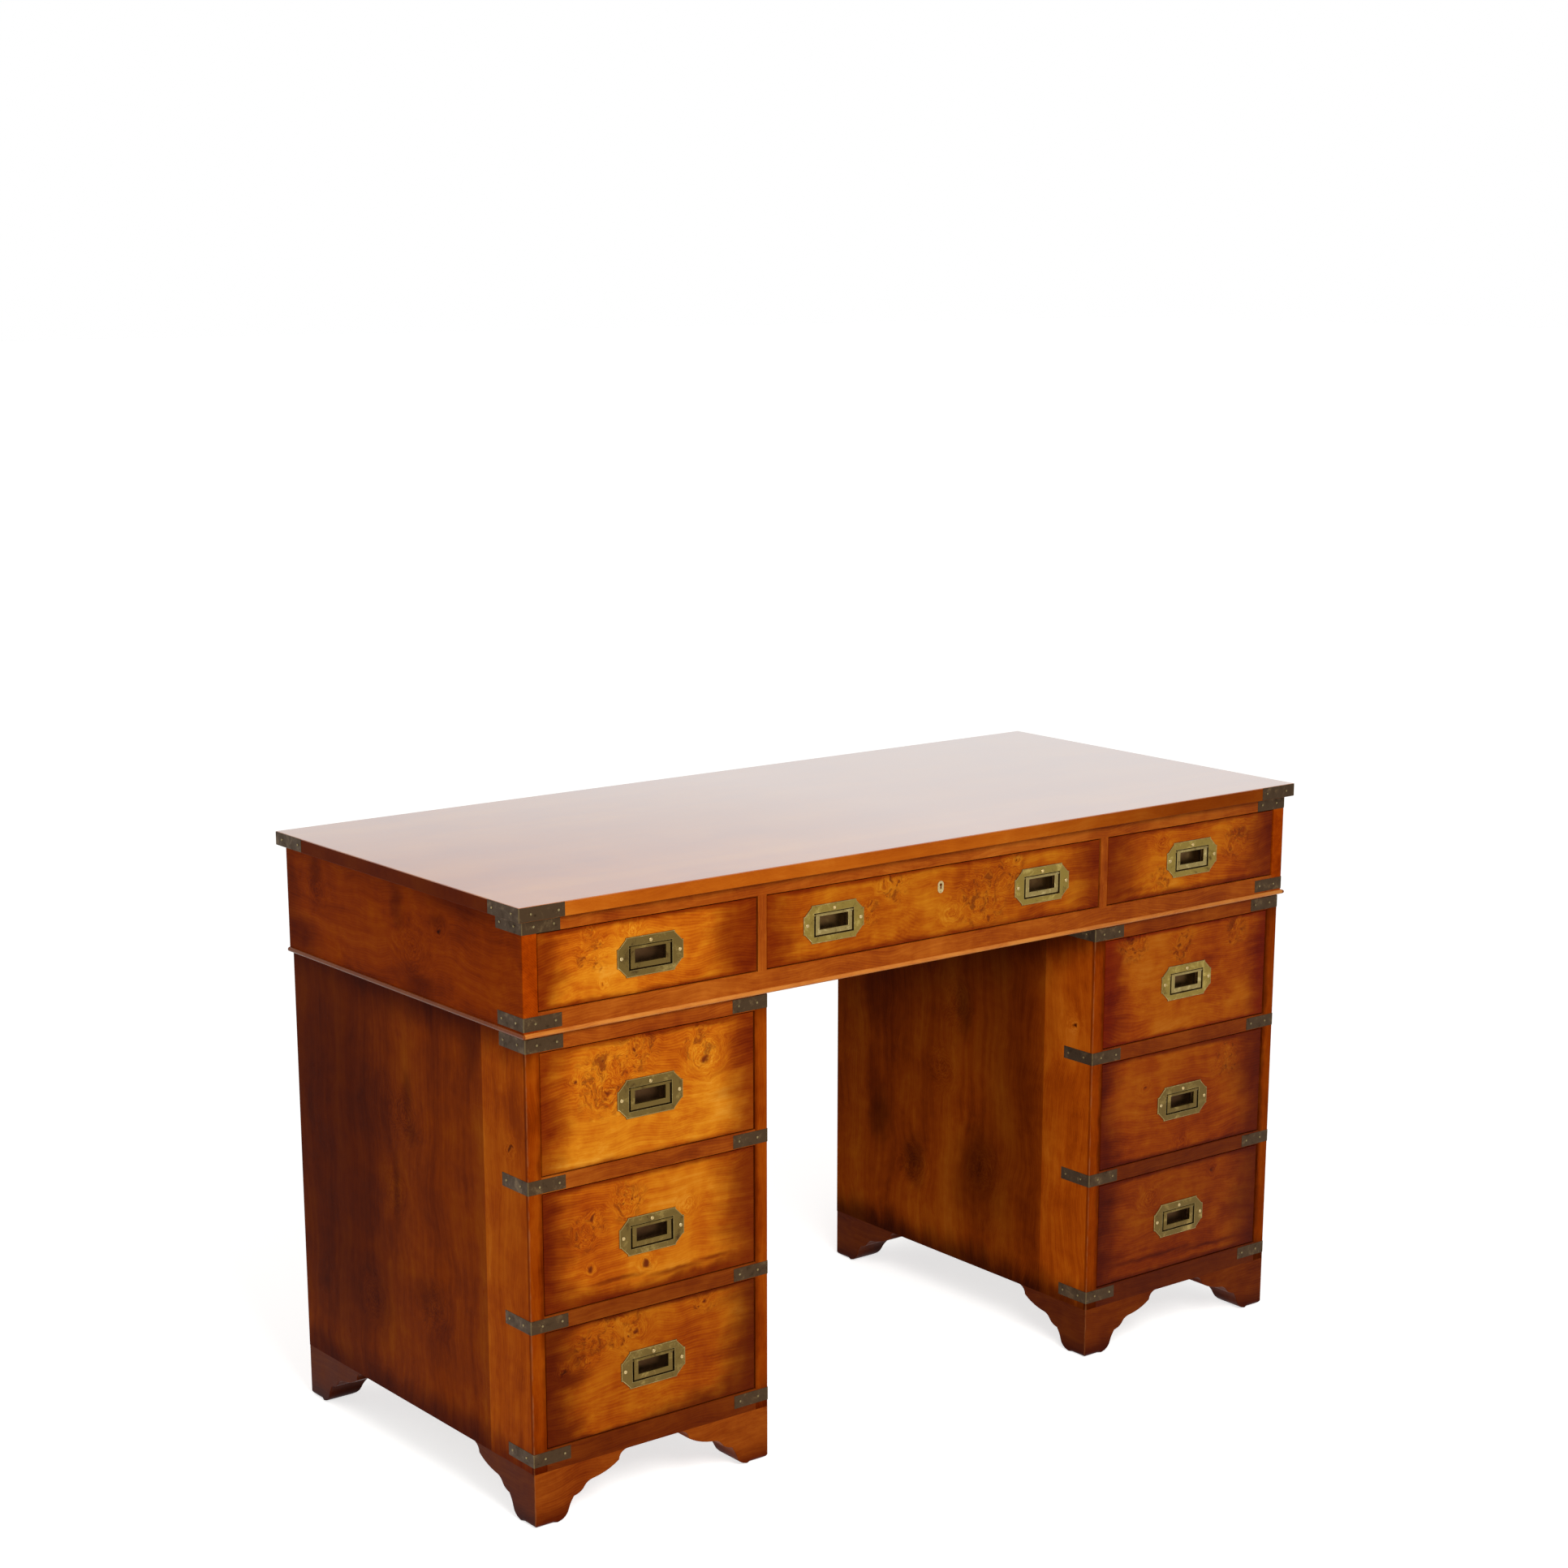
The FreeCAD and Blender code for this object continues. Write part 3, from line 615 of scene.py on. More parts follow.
        # Each cell has one twig, from a hair to a pencil thick.
        cells = {"Vector": self.bent, "Scale": 1 / TWIG_SPACING}
        away = add("TexVoronoi", cells, "Distance")
        size = add("SeparateColor", {0: add("TexVoronoi", cells, "Color")})
        size = add("Math", {0: size, 1: 2.0}, operation="POWER")
        size = add("Math", {0: size, 1: 0.42, 2: 0.02}, operation="MULTIPLY_ADD")
        share = add("Math", {0: away, 1: size}, operation="DIVIDE")
        pip = add("MapRange", {0: share, 1: 0.4, 2: 1.3, 3: 0.8, 4: 0.0}, **SOFT)
        # Between the twigs the burr has brown clouds a finger wide, with ragged edges.
        cloud = add(
            "TexNoise",
            {"Vector": self.bent, "Scale": 1 / BURR_CLOUD_SIZE, "Detail": 4.0, "Roughness": 0.7},
        )
        cloud = add("MapRange", {0: cloud, 1: 0.48, 2: 0.66, 3: 0.0, 4: 0.7}, **SOFT)
        pip = add("Math", {0: pip, 1: cloud}, operation="MAXIMUM")
        pip = add("Math", {0: pip, 1: self.burr}, operation="MULTIPLY")
        return add("Math", {0: pip, 1: self.core}, operation="MAXIMUM")

    def tints(self) -> list[tuple[Feed, str]]:
        """List the board's tints: its other sheets' tints, its stain and its wash.

        Returns:
            How much of each tint there is at the point, and the tint.
        """
        add, cut = self.add, self.cut
        tints: list[tuple[Feed, str]] = []
        for sheet in cut.sheets:
            place = add("SeparateXYZ", {0: self.place}, sheet.axis)
            side = "LESS_THAN" if sheet.below else "GREATER_THAN"
            tints.append((add("Math", {0: place, 1: sheet.joint}, operation=side), sheet.tint))
        if cut.stain or cut.shades:
            tints.append((self.darkness(), cut.deep))
        return [*tints, (1.0, cut.wash)]

    def darkness(self) -> Socket:
        """Lay the stain and the shades.

        Returns:
            How dark they make the point, from 0, bare, to 1, full.
        """
        add = self.add
        waver = {"Vector": self.place, "Scale": 1 / WAVER_SIZE, "Detail": 3.0}
        waver = add("TexNoise", waver, "Color")
        waver = add("VectorMath", {0: waver, 1: (0.5,) * 3}, operation="SUBTRACT")
        clear = self.clear_of_stain(waver) if self.cut.stain else 1.0
        for shade in self.cut.shades:
            sway = (min(30.0, 2 * min(shade.reach)),) * 3
            moved = add("VectorMath", {0: waver, 1: sway, 2: self.place}, operation="MULTIPLY_ADD")
            moved = add("VectorMath", {0: moved, 1: shade.at}, operation="SUBTRACT")
            shares = tuple(1 / reach for reach in shade.reach)
            moved = add("VectorMath", {0: moved, 1: shares}, operation="MULTIPLY")
            away = add("VectorMath", {0: moved}, "Value", operation="LENGTH")
            reached = add("MapRange", {0: away, 1: 0.1, 2: 1.0, 3: 1 - shade.depth, 4: 1.0}, **SOFT)
            clear = add("Math", {0: reached, 1: clear}, operation="MULTIPLY")
        return add("Math", {0: 1.0, 1: clear}, operation="SUBTRACT")

    def clear_of_stain(self, waver: Socket) -> Feed:
        """Feed how clear a point is of the stain from the board's edges.

        Args:
            waver: How the hand that rubbed it in wavered there, along each axis.

        Returns:
            One where it is clear, and less towards the edges.
        """
        add, stain, run = self.add, self.cut.stain, self.cut.run.value
        feather = {"Vector": self.squeezed, "Scale": 0.22, "Detail": 4.0, "Roughness": 0.62}
        feather = add("TexNoise", feather)
        feather = add("Math", {0: feather, 1: 0.5}, operation="SUBTRACT")
        run_out = tuple(2.6 * stain.feather if runs else 12.0 for runs in run)
        run_out = add("VectorMath", {0: run_out, "Scale": feather}, operation="SCALE")
        sway = tuple(stain.feather if runs else stain.feather / 4 for runs in run)
        moved = add("VectorMath", {0: waver, 1: sway, 2: self.place}, operation="MULTIPLY_ADD")
        moved = add("VectorMath", {0: run_out, 1: moved}, operation="ADD")
        clear: Feed = 1.0
        for axis in range(3):
            for edge, width in (
                (stain.low[axis], stain.low_width[axis]),
                (stain.high[axis], -stain.high_width[axis]),
            ):
                if width:
                    place = add("SeparateXYZ", {0: moved}, axis)
                    levels = {0: place, 1: edge, 2: edge + width, 3: 0.0, 4: 1.0}
                    reached = add("MapRange", levels, **SOFT)
                    clear = add("Math", {0: reached, 1: clear}, operation="MULTIPLY")
        return clear

    def polish(self, colour: Socket) -> None:
        """Lay the polish over a colour, and the thick coat where there is one.

        Args:
            colour: The colour under the polish.
        """
        add, wood = self.add, self.wood
        low, high = wood.roughness
        rough = add("MapRange", {0: self.cloud, 1: 0.3, 2: 0.7, 3: low, 4: high})
        relief = add("Math", {0: self.line, 1: 0.4, 2: self.fibre}, operation="MULTIPLY_ADD")
        bump = add("Bump", {"Strength": 0.6, "Distance": wood.relief * MM, "Height": relief})
        weight, coat_rough, coat_ior = wood.coat
        self.feed_shader(
            Base_Color=colour,
            Roughness=rough,
            Normal=bump,
            IOR=wood.ior,
            Specular_Tint=linear(wood.sheen),
            Coat_Weight=weight,
            Coat_Roughness=coat_rough,
            Coat_IOR=coat_ior,
        )
        if wood.elbow:
            middle, reach = wood.elbow
            away = add("VectorMath", {0: self.place, 1: middle}, "Value", operation="DISTANCE")
            cover = add("MapRange", {0: away, 1: 0.0, 2: reach, 3: ELBOW_SHARE * weight, 4: weight})
            self.feed_shader(Coat_Weight=cover)


# Yew veneer, stained and French polished: golden with orange-red lines, and clear in its depth.
YEW_FRONT = Wood(
    "French polished burr yew",
    ((0.0, "#742203"), (0.3, "#9e4305"), (0.5, "#b75c0a"), (0.72, "#cc7a14"), (1.0, "#dc9630")),
    pip="#6a2a0a",
    ior=1.14,
)
# The same veneer on the case, stained redder and darker. The stain dulls it, so it mirrors little.
YEW_CASE = Wood(
    "Stained and polished yew",
    ((0.0, "#6c1f02"), (0.3, "#943a03"), (0.5, "#b04c06"), (0.75, "#c86510"), (1.0, "#d88028")),
    pip="#4a1804",
    short=9.0,
    long=320.0,
    clouds=0.7,
    bands=0.9,
    mottle=0.25,
    streaks=0.55,
    lines=0.08,
    ior=1.05,
)
# Rails, stiles and feet: plainer and more orange.
YEW_RAIL = Wood(
    "Polished yew rail",
    ((0.0, "#5e1e04"), (0.3, "#823408"), (0.5, "#96450c"), (0.75, "#ac5a16"), (1.0, "#c0722c")),
    pip="#4a1a08",
    short=5.0,
    clouds=0.8,
    mottle=0.3,
    ior=1.14,
)
# The bead is rubbed by every knee and sleeve, so it is the glossiest. Its colours are paler
# than the rail's, a painted highlight along it.
YEW_BEAD = replace(
    YEW_RAIL,
    name="Rubbed yew bead",
    stops=(
        (0.0, "#8e4012"), (0.3, "#ab5b1c"), (0.5, "#be7029"), (0.75, "#cb8337"), (1.0, "#d6944c"),
    ),
    ior=1.3,
    sheen="#ffc090",
    roughness=(0.16, 0.22),
)
# Feet take the kicks and the mop, which dull their polish.
YEW_FOOT = replace(YEW_RAIL, name="Dulled yew foot", ior=1.12, roughness=(0.34, 0.5))
# The top has the thickest polish, rubbed flat, so it mirrors what stands behind it.
YEW_TOP = Wood(
    "Piano polished yew top",
    ((0.0, "#7a2e04"), (0.3, "#9e4806"), (0.5, "#b05c08"), (0.75, "#c47618"), (1.0, "#d48c30")),
    pip="#3a1608",
    clouds=0.4,
    bands=0.5,
    mottle=0.05,
    streaks=0.25,
    lines=0.0,
    roughness=(0.08, 0.14),
    ior=1.5,
    sheen="#ffffff",
    coat=(1.0, 0.03, 1.76),
    elbow=((-700.0, -100.0, 770.0), 800.0),
    relief=0.001,
    long=420.0,
)
# Its edges never had the thick polish.
YEW_EDGE = replace(
    YEW_TOP,
    name="Polished yew edge",
    stops=(
        (0.0, "#762c06"), (0.3, "#96440a"), (0.5, "#aa5610"), (0.75, "#be7020"), (1.0, "#cc8438"),
    ),
    roughness=(0.25, 0.4),
    ior=1.06,
    coat=(0.0, 0.03, 1.5),
    elbow=None,
    relief=0.02,
)
# Inside boards are of plain softwood, waxed once and dulled by age.
DEAL = Wood(
    "Waxed deal",
    ((0.0, "#3e2612"), (0.4, "#5f4022"), (0.7, "#785632"), (1.0, "#8c6a44")),
    pip="#4a2e18",
    ring=7.0,
    short=14.0,
    long=420.0,
    lines=0.4,
    roughness=(0.5, 0.7),
    ior=1.35,
    sheen="#ffffff",
)
# Drawer linings are of quarter-sawn oak, pale and close.
OAK = Wood(
    "Waxed oak lining",
    ((0.0, "#7d5a34"), (0.4, "#a17c50"), (0.7, "#b8956a"), (1.0, "#c8aa82")),
    pip="#5c3e22",
    ring=3.0,
    short=5.0,
    long=180.0,
    lines=0.3,
    roughness=(0.45, 0.62),
    ior=1.4,
    sheen="#ffffff",
)


# ---- Metals ----
# Specks of verdigris and rust are about a millimetre across, and the patina is that rough, in mm.
SPECK_SIZE = 1.4
PATINA_RELIEF = 0.06
# Where the cups start to darken and are darkest, in mm along Y.
CUP_DARKENING = (-271.5, -266.0)


@dataclass(frozen=True)
class Metal:
    """A metal and what age has done to it.

    Attributes:
        name: Common name and how it was finished.
        bright: Colour where it is rubbed bright.
        dull: Colour of its plain patina.
        deep: Colour of the dirt and oxide in its hollows.
        patch: Size of a patch of patina, in mm.
        roughness: Roughness from bright to dirty.
        dark_from: Where a recess starts to darken and is darkest, in mm along Y, or nothing.
        recess_colour: The colour that it darkens to.
    """

    name: str
    bright: str
    dull: str
    deep: str
    patch: float
    roughness: tuple[float, float]
    dark_from: tuple[float, float] | None = None
    recess_colour: str = "#4a3020"

    def material(self) -> bpy.types.Material:
        """Make the metal's material.

        Returns:
            The material.
        """
        bench = Bench(self.name)
        add = bench.add
        patina = add(
            "TexNoise",
            {
                "Vector": bench.place,
                "Scale": 1 / self.patch,
                "Detail": 5.0,
                "Roughness": 0.62,
                "Distortion": 0.4,
            },
        )
        speckle = add("TexNoise", {"Vector": bench.place, "Scale": 1 / SPECK_SIZE, "Detail": 2.0})
        tone = add("Math", {0: speckle, 1: 0.22, 2: patina}, operation="MULTIPLY_ADD")
        stops = ((0.38, self.deep), (0.52, self.dull), (0.66, self.dull), (0.86, self.bright))
        colour = add("ValToRGB", {0: tone}, stops=stops)
        if self.dark_from:
            # Darker deeper in a recess, towards the cup's floor.
            depth = add("SeparateXYZ", {0: bench.place}, 1)
            start, full = self.dark_from
            recess_darkening = add("MapRange", {0: depth, 1: start, 2: full, 3: 0.0, 4: 0.85}, **SOFT)
            colour = add("Mix", {0: recess_darkening, 6: colour, 7: linear(self.recess_colour)}, 2, data_type="RGBA")
        bright_rough, dirty_rough = self.roughness
        rough = add("MapRange", {0: tone, 1: 0.45, 2: 0.85, 3: dirty_rough, 4: bright_rough})
        bump = add("Bump", {"Strength": 0.35, "Distance": PATINA_RELIEF * MM, "Height": tone})
        bench.feed_shader(Base_Color=colour, Roughness=rough, Normal=bump, Metallic=1.0)
        return bench.material


# Cast brass plates and rings, lacquer long gone: olive patina, rubbed gold where fingers reach.
PLATE_BRASS = Metal(
    "Aged cast brass", "#968048", "#66532a", "#46341a", 22.0, (0.3, 0.55), dark_from=CUP_DARKENING
)
# The handles that are used most are rubbed nearly to gold.
USED_BRASS = Metal(
    "Rubbed cast brass", "#b49e58", "#857034", "#5a451e", 16.0, (0.25, 0.5), dark_from=CUP_DARKENING
)
# Filed rims, which every cloth passes over, rubbed bright, and painted paler also as a
# highlight along them.
RIM_BRASS = Metal("Filed brass rims", "#bcaa74", "#8c7a4a", "#5c4c2a", 9.0, (0.22, 0.4))
# Thin rolled brass straps, browned almost to bronze.
STRAP_BRASS = Metal("Browned rolled brass", "#645036", "#463524", "#302214", 13.0, (0.35, 0.6))
# The straps' bends are rubbed a little paler, and painted paler also as a highlight on the
# corner.
BEND_BRASS = Metal("Rubbed rolled brass, highlight painted paler", "#80704e", "#625238", "#40321f", 9.0, (0.3, 0.5))
# Screw heads stay bright from polishing.
HEAD_BRASS = Metal("Rubbed brass heads", "#d8c9a0", "#b8a272", "#7a6640", 3.0, (0.2, 0.4))
# Nail heads have gone the straps' way, half browned.
NAIL_BRASS = Metal("Browned brass nails", "#a89870", "#7a6a48", "#4a3c24", 3.0, (0.25, 0.45))
# The lock's iron, oiled and grey.
IRON = Metal("Oiled wrought iron", "#8a8680", "#5d5a56", "#33302d", 20.0, (0.35, 0.6))


# ---- Modelling by hand ----
def deselect() -> None:
    """Leave nothing selected, so that an operator acts on the new piece only."""
    bpy.ops.object.select_all(action="DESELECT")


def block(name: str, low: Sequence[float], high: Sequence[float]) -> bpy.types.Object:
    """Add a block between two corners, its place in its mesh.

    Args:
        name: The piece's name.
        low: Its lowest corner, in mm.
        high: Its highest corner, in mm.

    Returns:
        The piece, the only one selected.
    """
    deselect()
    middle = [(a + b) / 2 * MM for a, b in zip(low, high)]
    bpy.ops.mesh.primitive_cube_add(size=1, location=middle)
    piece = bpy.context.object
    piece.name = name
    piece.scale = [(b - a) * MM for a, b in zip(low, high)]
    bpy.ops.object.transform_apply(location=True, rotation=True, scale=True)
    return piece


def rod(
    radius: float, length: float, sides: int, middle: Point = (0, 0, 0), turn: Point = (0, 0, 0)
) -> bpy.types.Object:
    """Add a round rod, its place in its mesh.

    Args:
        radius: Its radius, in mm.
        length: Its length, in mm.
        sides: How many flats stand for its round side.
        middle: Its middle, in mm.
        turn: How it is turned from Z, about each axis.

    Returns:
        The rod, the only piece selected.
    """
    deselect()
    bpy.ops.mesh.primitive_cylinder_add(
        vertices=sides,
        radius=radius * MM,
        depth=length * MM,
        location=[m * MM for m in middle],
        rotation=turn,
    )
    bpy.ops.object.transform_apply(location=True, rotation=True, scale=True)
    return bpy.context.object


def carve(piece: bpy.types.Object, cutter: bpy.types.Object) -> None:
    """Cut one piece's shape out of another.

    Args:
        piece: The piece that is cut.
        cutter: The piece whose shape is cut out.
    """
    bpy.context.view_layer.objects.active = piece
    cut = piece.modifiers.new("cut", "BOOLEAN")
    cut.operation, cut.object = "DIFFERENCE", cutter
    bpy.ops.object.modifier_apply(modifier=cut.name)


def pick(mode: str, wanted: Callable[[object], bool]) -> None:
    """Select the faces, edges or vertices of the mesh in edit mode that a test picks.

    Args:
        mode: FACE, EDGE or VERT.
        wanted: The test. It is given the element.
    """
    bpy.ops.mesh.select_mode(type=mode)
    bpy.ops.mesh.select_all(action="DESELECT")
    data = bpy.context.edit_object.data
    mesh = bmesh.from_edit_mesh(data)
    elements = {"FACE": mesh.faces, "EDGE": mesh.edges, "VERT": mesh.verts}[mode]
    for element in elements:
        if wanted(element):
            element.select_set(True)
    mesh.select_flush_mode()
    bmesh.update_edit_mesh(data)


def faces_at(
    axis: int, value: float, inside: Sequence[tuple[float, float] | None] = (None,) * 3
) -> Callable[[bmesh.types.BMFace], bool]:
    """A test for faces that lie square to an axis at one place.

    Args:
        axis: 0, 1 or 2.
        value: Their place on it, in mm.
        inside: For each axis, the span in mm that the face's middle lies in, or nothing.

    Returns:
        The test, for pick().
    """

    def wanted(face: bmesh.types.BMFace) -> bool:
        """Whether the face lies there.

        Args:
            face: The face.

        Returns:
            True if it lies there.
        """
        middle = face.calc_center_median() * TO_MM
        if abs(abs(face.normal[axis]) - 1) > 0.01 or abs(middle[axis] - value) > SAME:
            return False
        return all(s is None or s[0] < middle[i] < s[1] for i, s in enumerate(inside))

    return wanted


def is_sharp(edge: bmesh.types.BMEdge) -> bool:
    """Whether two faces meet sharply at this edge."""
    return len(edge.link_faces) == 2 and edge.calc_face_angle() > math.radians(SHARP_DEGREES)


def along(edge: bmesh.types.BMEdge, axis: int) -> bool:
    """Whether an edge runs along an axis."""
    run = edge.verts[1].co - edge.verts[0].co
    return abs(run[axis]) > 0.999 * run.length


def sharp_edges_at(
    axis: int, value: float, inside: Callable[[Vector], bool] = lambda end: True
) -> Callable[[bmesh.types.BMEdge], bool]:
    """A test for sharp edges that lie in a plane square to an axis.

    Args:
        axis: 0, 1 or 2.
        value: The plane's place on it, in mm.
        inside: A test of both ends of the edge, in mm.

    Returns:
        The test, for pick().
    """

    def wanted(edge: bmesh.types.BMEdge) -> bool:
        """Whether the edge lies there."""
        ends = [v.co * TO_MM for v in edge.verts]
        return is_sharp(edge) and all(abs(p[axis] - value) < SAME and inside(p) for p in ends)

    return wanted


def cut_at(axis: int, value: float) -> None:
    """Cut all faces of the mesh in edit mode along a plane square to an axis.

    Args:
        axis: 0, 1 or 2.
        value: The plane's place on it, in mm.
    """
    bpy.ops.mesh.select_all(action="SELECT")
    point, normal = [0.0, 0.0, 0.0], [0.0, 0.0, 0.0]
    point[axis], normal[axis] = value * MM, 1.0
    bpy.ops.mesh.bisect(plane_co=point, plane_no=normal)


def push(offset: Sequence[float]) -> None:
    """Extrude the selected faces by an offset in mm."""
    bpy.ops.mesh.extrude_region_move(TRANSFORM_OT_translate={"value": [o * MM for o in offset]})


def soften(width: float, segments: int) -> None:
    """Bevel the selected edges, in mm."""
    bpy.ops.mesh.bevel(offset=width * MM, segments=segments, affect="EDGES", clamp_overlap=True)


def copy_to(
    pattern: bpy.types.Object, name: str, place: Matrix | Sequence[float]
) -> bpy.types.Object:
    """Copy a pattern, with its own mesh, to its place.

    Args:
        pattern: The finished piece.
        name: The copy's name.
        place: An offset in mm, or a matrix in metres.

    Returns:
        The copy.
    """
    piece = pattern.copy()
    piece.data = pattern.data.copy()
    piece.name = name
    matrix = place if isinstance(place, Matrix) else Matrix.Translation([p * MM for p in place])
    piece.data.transform(matrix)
    if matrix.determinant() < 0:
        piece.data.flip_normals()
    bpy.context.scene.collection.objects.link(piece)
    return piece


def mark_selected() -> None:
    """Give the selected faces the piece's second material."""
    data = bpy.context.edit_object.data
    mesh = bmesh.from_edit_mesh(data)
    for face in mesh.faces:
        if face.select:
            face.material_index = 1
    bmesh.update_edit_mesh(data)


def finish(piece: bpy.types.Object, *materials: bpy.types.Material) -> None:
    """Smooth a piece's gentle edges, keep its flats flat, and give it its materials.

    Args:
        piece: The piece.
        materials: Its materials, the one of its marked faces second.
    """
    deselect()
    piece.select_set(True)
    bpy.context.view_layer.objects.active = piece
    bpy.ops.object.shade_smooth_by_angle(angle=math.radians(SMOOTH_DEGREES))
    flats = piece.modifiers.new("flats", "WEIGHTED_NORMAL")
    flats.keep_sharp = True
    bpy.ops.object.modifier_apply(modifier=flats.name)
    for material in materials:
        piece.data.materials.append(material)


def join(pieces: Sequence[bpy.types.Object], name: str) -> bpy.types.Object:
    """Join pieces into one.

    Args:
        pieces: The pieces.
        name: The joined piece's name.

    Returns:
        The joined piece.
    """
    deselect()
    for piece in pieces:
        piece.select_set(True)
    bpy.context.view_layer.objects.active = pieces[0]
    bpy.ops.object.join()
    pieces[0].name = name
    return pieces[0]


def paint(node_name: str, material: bpy.types.Material) -> None:
    """Give a node of the frame its material.

    Args:
        node_name: The node.
        material: The material.
    """
    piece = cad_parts[node_name]
    for material_slot in piece.material_slots:
        material_slot.link = "OBJECT"
        material_slot.material = material


# ---- Handles ----
@dataclass(frozen=True)
class HandlePlace:
    """Where one handle goes.

    Attributes:
        drawer: The drawer that it is on.
        used: Whether use has rubbed its plate bright, and its ring brighter.
    """

    drawer: str
    used: bool = False


# By the ring's body.
HANDLES = {
    "frieze_left_drawer_bail": HandlePlace("frieze_left"),
    "frieze_centre_drawer_left_bail": HandlePlace("frieze_centre", used=True),
    "frieze_centre_drawer_right_bail": HandlePlace("frieze_centre", used=True),
    "frieze_right_drawer_bail": HandlePlace("frieze_right", used=True),
    "left_upper_drawer_bail": HandlePlace("left_upper"),
    "left_middle_drawer_bail": HandlePlace("left_middle"),
    "left_lower_drawer_bail": HandlePlace("left_lower"),
    "right_upper_drawer_bail": HandlePlace("right_upper", used=True),
    "right_middle_drawer_bail": HandlePlace("right_middle"),
    "right_lower_drawer_bail": HandlePlace("right_lower"),
}


@dataclass
class RingHandle:
    """A flush handle: a stepped, clipped plate with a cup, a hanging ring and three screws."""

    width: float = 96.0
    height: float = 48.5
    thickness: float = 1.5
    clip: float = 12.5
    step: float = 2.0
    window_half_width: float = 31.5
    window_bottom: float = -16.0
    window_top: float = 13.5
    cup_depth: float = 12.0
    cup_wall: float = 1.3
    rim_round: float = 1.0
    window_round: float = 0.5
    cup_round: float = 3.0
    ring_width: float = 58.0
    ring_length: float = 25.5
    ring_thickness: float = 4.0
    ring_side_bar: float = 6.5
    ring_bottom_bar: float = 7.0
    ring_ease: float = 1.1
    axis_height: float = 11.0
    pivot_radius: float = 1.2
    pivot_reach: float = 32.4
    pivot_ease: float = 0.3
    head_radius: float = 2.4
    head_height: float = 0.9
    head_round: float = 0.62
    slot_half_width: float = 0.35
    slot_depth: float = 0.5
    head_places: tuple[tuple[float, float], ...] = ((-42.4, 0.0), (42.4, 0.0), (0.0, 17.75))
    plate_pattern: bpy.types.Object | None = None
    ring_pattern: bpy.types.Object | None = None
    screw_pattern: bpy.types.Object | None = None

    def build(self) -> None:
        """Model one handle, to be copied to each drawer."""
        self.plate_pattern = self.build_plate()
        self.ring_pattern = self.build_ring()
        self.screw_pattern = self.build_screws()

    def build_plate(self) -> bpy.types.Object:
        """Model the plate and its cup in one casting, the plate's back on the drawer's face.

        Returns:
            The pattern, with the back of its plate at the origin.
        """
        x, z, t = self.width / 2, self.height / 2, self.thickness
        plate = block("plate_pattern", (-x, -t, -z), (x, 0, z))
        bpy.ops.object.mode_set(mode="EDIT")
        for side in (-1, 1):
            cut_at(0, side * (x - self.clip))
            cut_at(2, side * (z - self.clip))
        for side_x in (-1, 1):
            for side_z in (-1, 1):
                self._clip_corner(side_x, side_z)
        for side in (-1, 1):
            cut_at(0, side * self.window_half_width)
            cut_at(0, side * (self.window_half_width + self.cup_wall))
        for level, wall in ((self.window_bottom, -1), (self.window_top, 1)):
            cut_at(2, level)
            cut_at(2, level + wall * self.cup_wall)
        wide, low, high = self.window_half_width, self.window_bottom, self.window_top
        pick("FACE", faces_at(1, -t, ((-wide, wide), None, (low, high))))
        push((0, t + self.cup_depth, 0))
        wall = self.cup_wall
        pick("FACE", faces_at(1, 0, ((-wide - wall, wide + wall), None, (low - wall, high + wall))))
        push((0, self.cup_depth + wall, 0))
        # The rims are filed round, the outer one more.
        pick("EDGE", sharp_edges_at(1, -t, lambda p: abs(p.x) > wide + 1 or abs(p.z) > -low + 1))
        soften(self.rim_round, 2)
        # The rounded rims take the rim brass, rubbed bright and partly a painted highlight.
        mark_selected()

        def at_window(end: Vector) -> bool:
            """Whether a point is on the window's rim."""
            return abs(end.x) < wide + 0.1 and low - 0.1 < end.z < high + 0.1

        pick("EDGE", sharp_edges_at(1, -t, at_window))
        soften(self.window_round, 2)
        # The window's rim takes it too.
        mark_selected()
        # The cup is cast, so the corners of its floor are full.
        pick("EDGE", sharp_edges_at(1, self.cup_depth))
        soften(self.cup_round, 4)
        bpy.ops.object.mode_set(mode="OBJECT")
        return plate

    def _clip_corner(self, side_x: int, side_z: int) -> None:
        """Cut one corner of the plate back to its two steps and the slant between them.

        Args:
            side_x: -1 for a left corner, 1 for a right one.
            side_z: -1 for a lower corner, 1 for an upper one.
        """
        x, z = self.width / 2, self.height / 2
        in_x, in_z = x - self.clip, z - self.clip

        def in_corner(place: Vector) -> bool:
            """Whether a point is in the square that the corner is cut from."""
            reach_x, reach_z = side_x * place.x * TO_MM, side_z * place.z * TO_MM
            return reach_x > in_x - SAME and reach_z > in_z - SAME

        pick("FACE", lambda f: all(in_corner(v.co) for v in f.verts))
        point = Vector((side_x * (x - self.step), 0, side_z * in_z)) * MM
        outwards = Vector((side_x * (z - self.step - in_z), 0, side_z * (x - self.step - in_x)))
        bpy.ops.mesh.bisect(plane_co=point, plane_no=outwards)
        pick(
            "FACE",
            lambda f: all(in_corner(v.co) for v in f.verts)
            and (f.calc_center_median() - point).dot(outwards) > 1e-6,
        )
        bpy.ops.mesh.delete(type="FACE")
        pick(
            "EDGE",
            lambda e: e.is_boundary
            and abs(e.verts[0].co.y - e.verts[1].co.y) < 1e-6
            and all(in_corner(v.co) for v in e.verts),
        )
        bpy.ops.mesh.bridge_edge_loops()

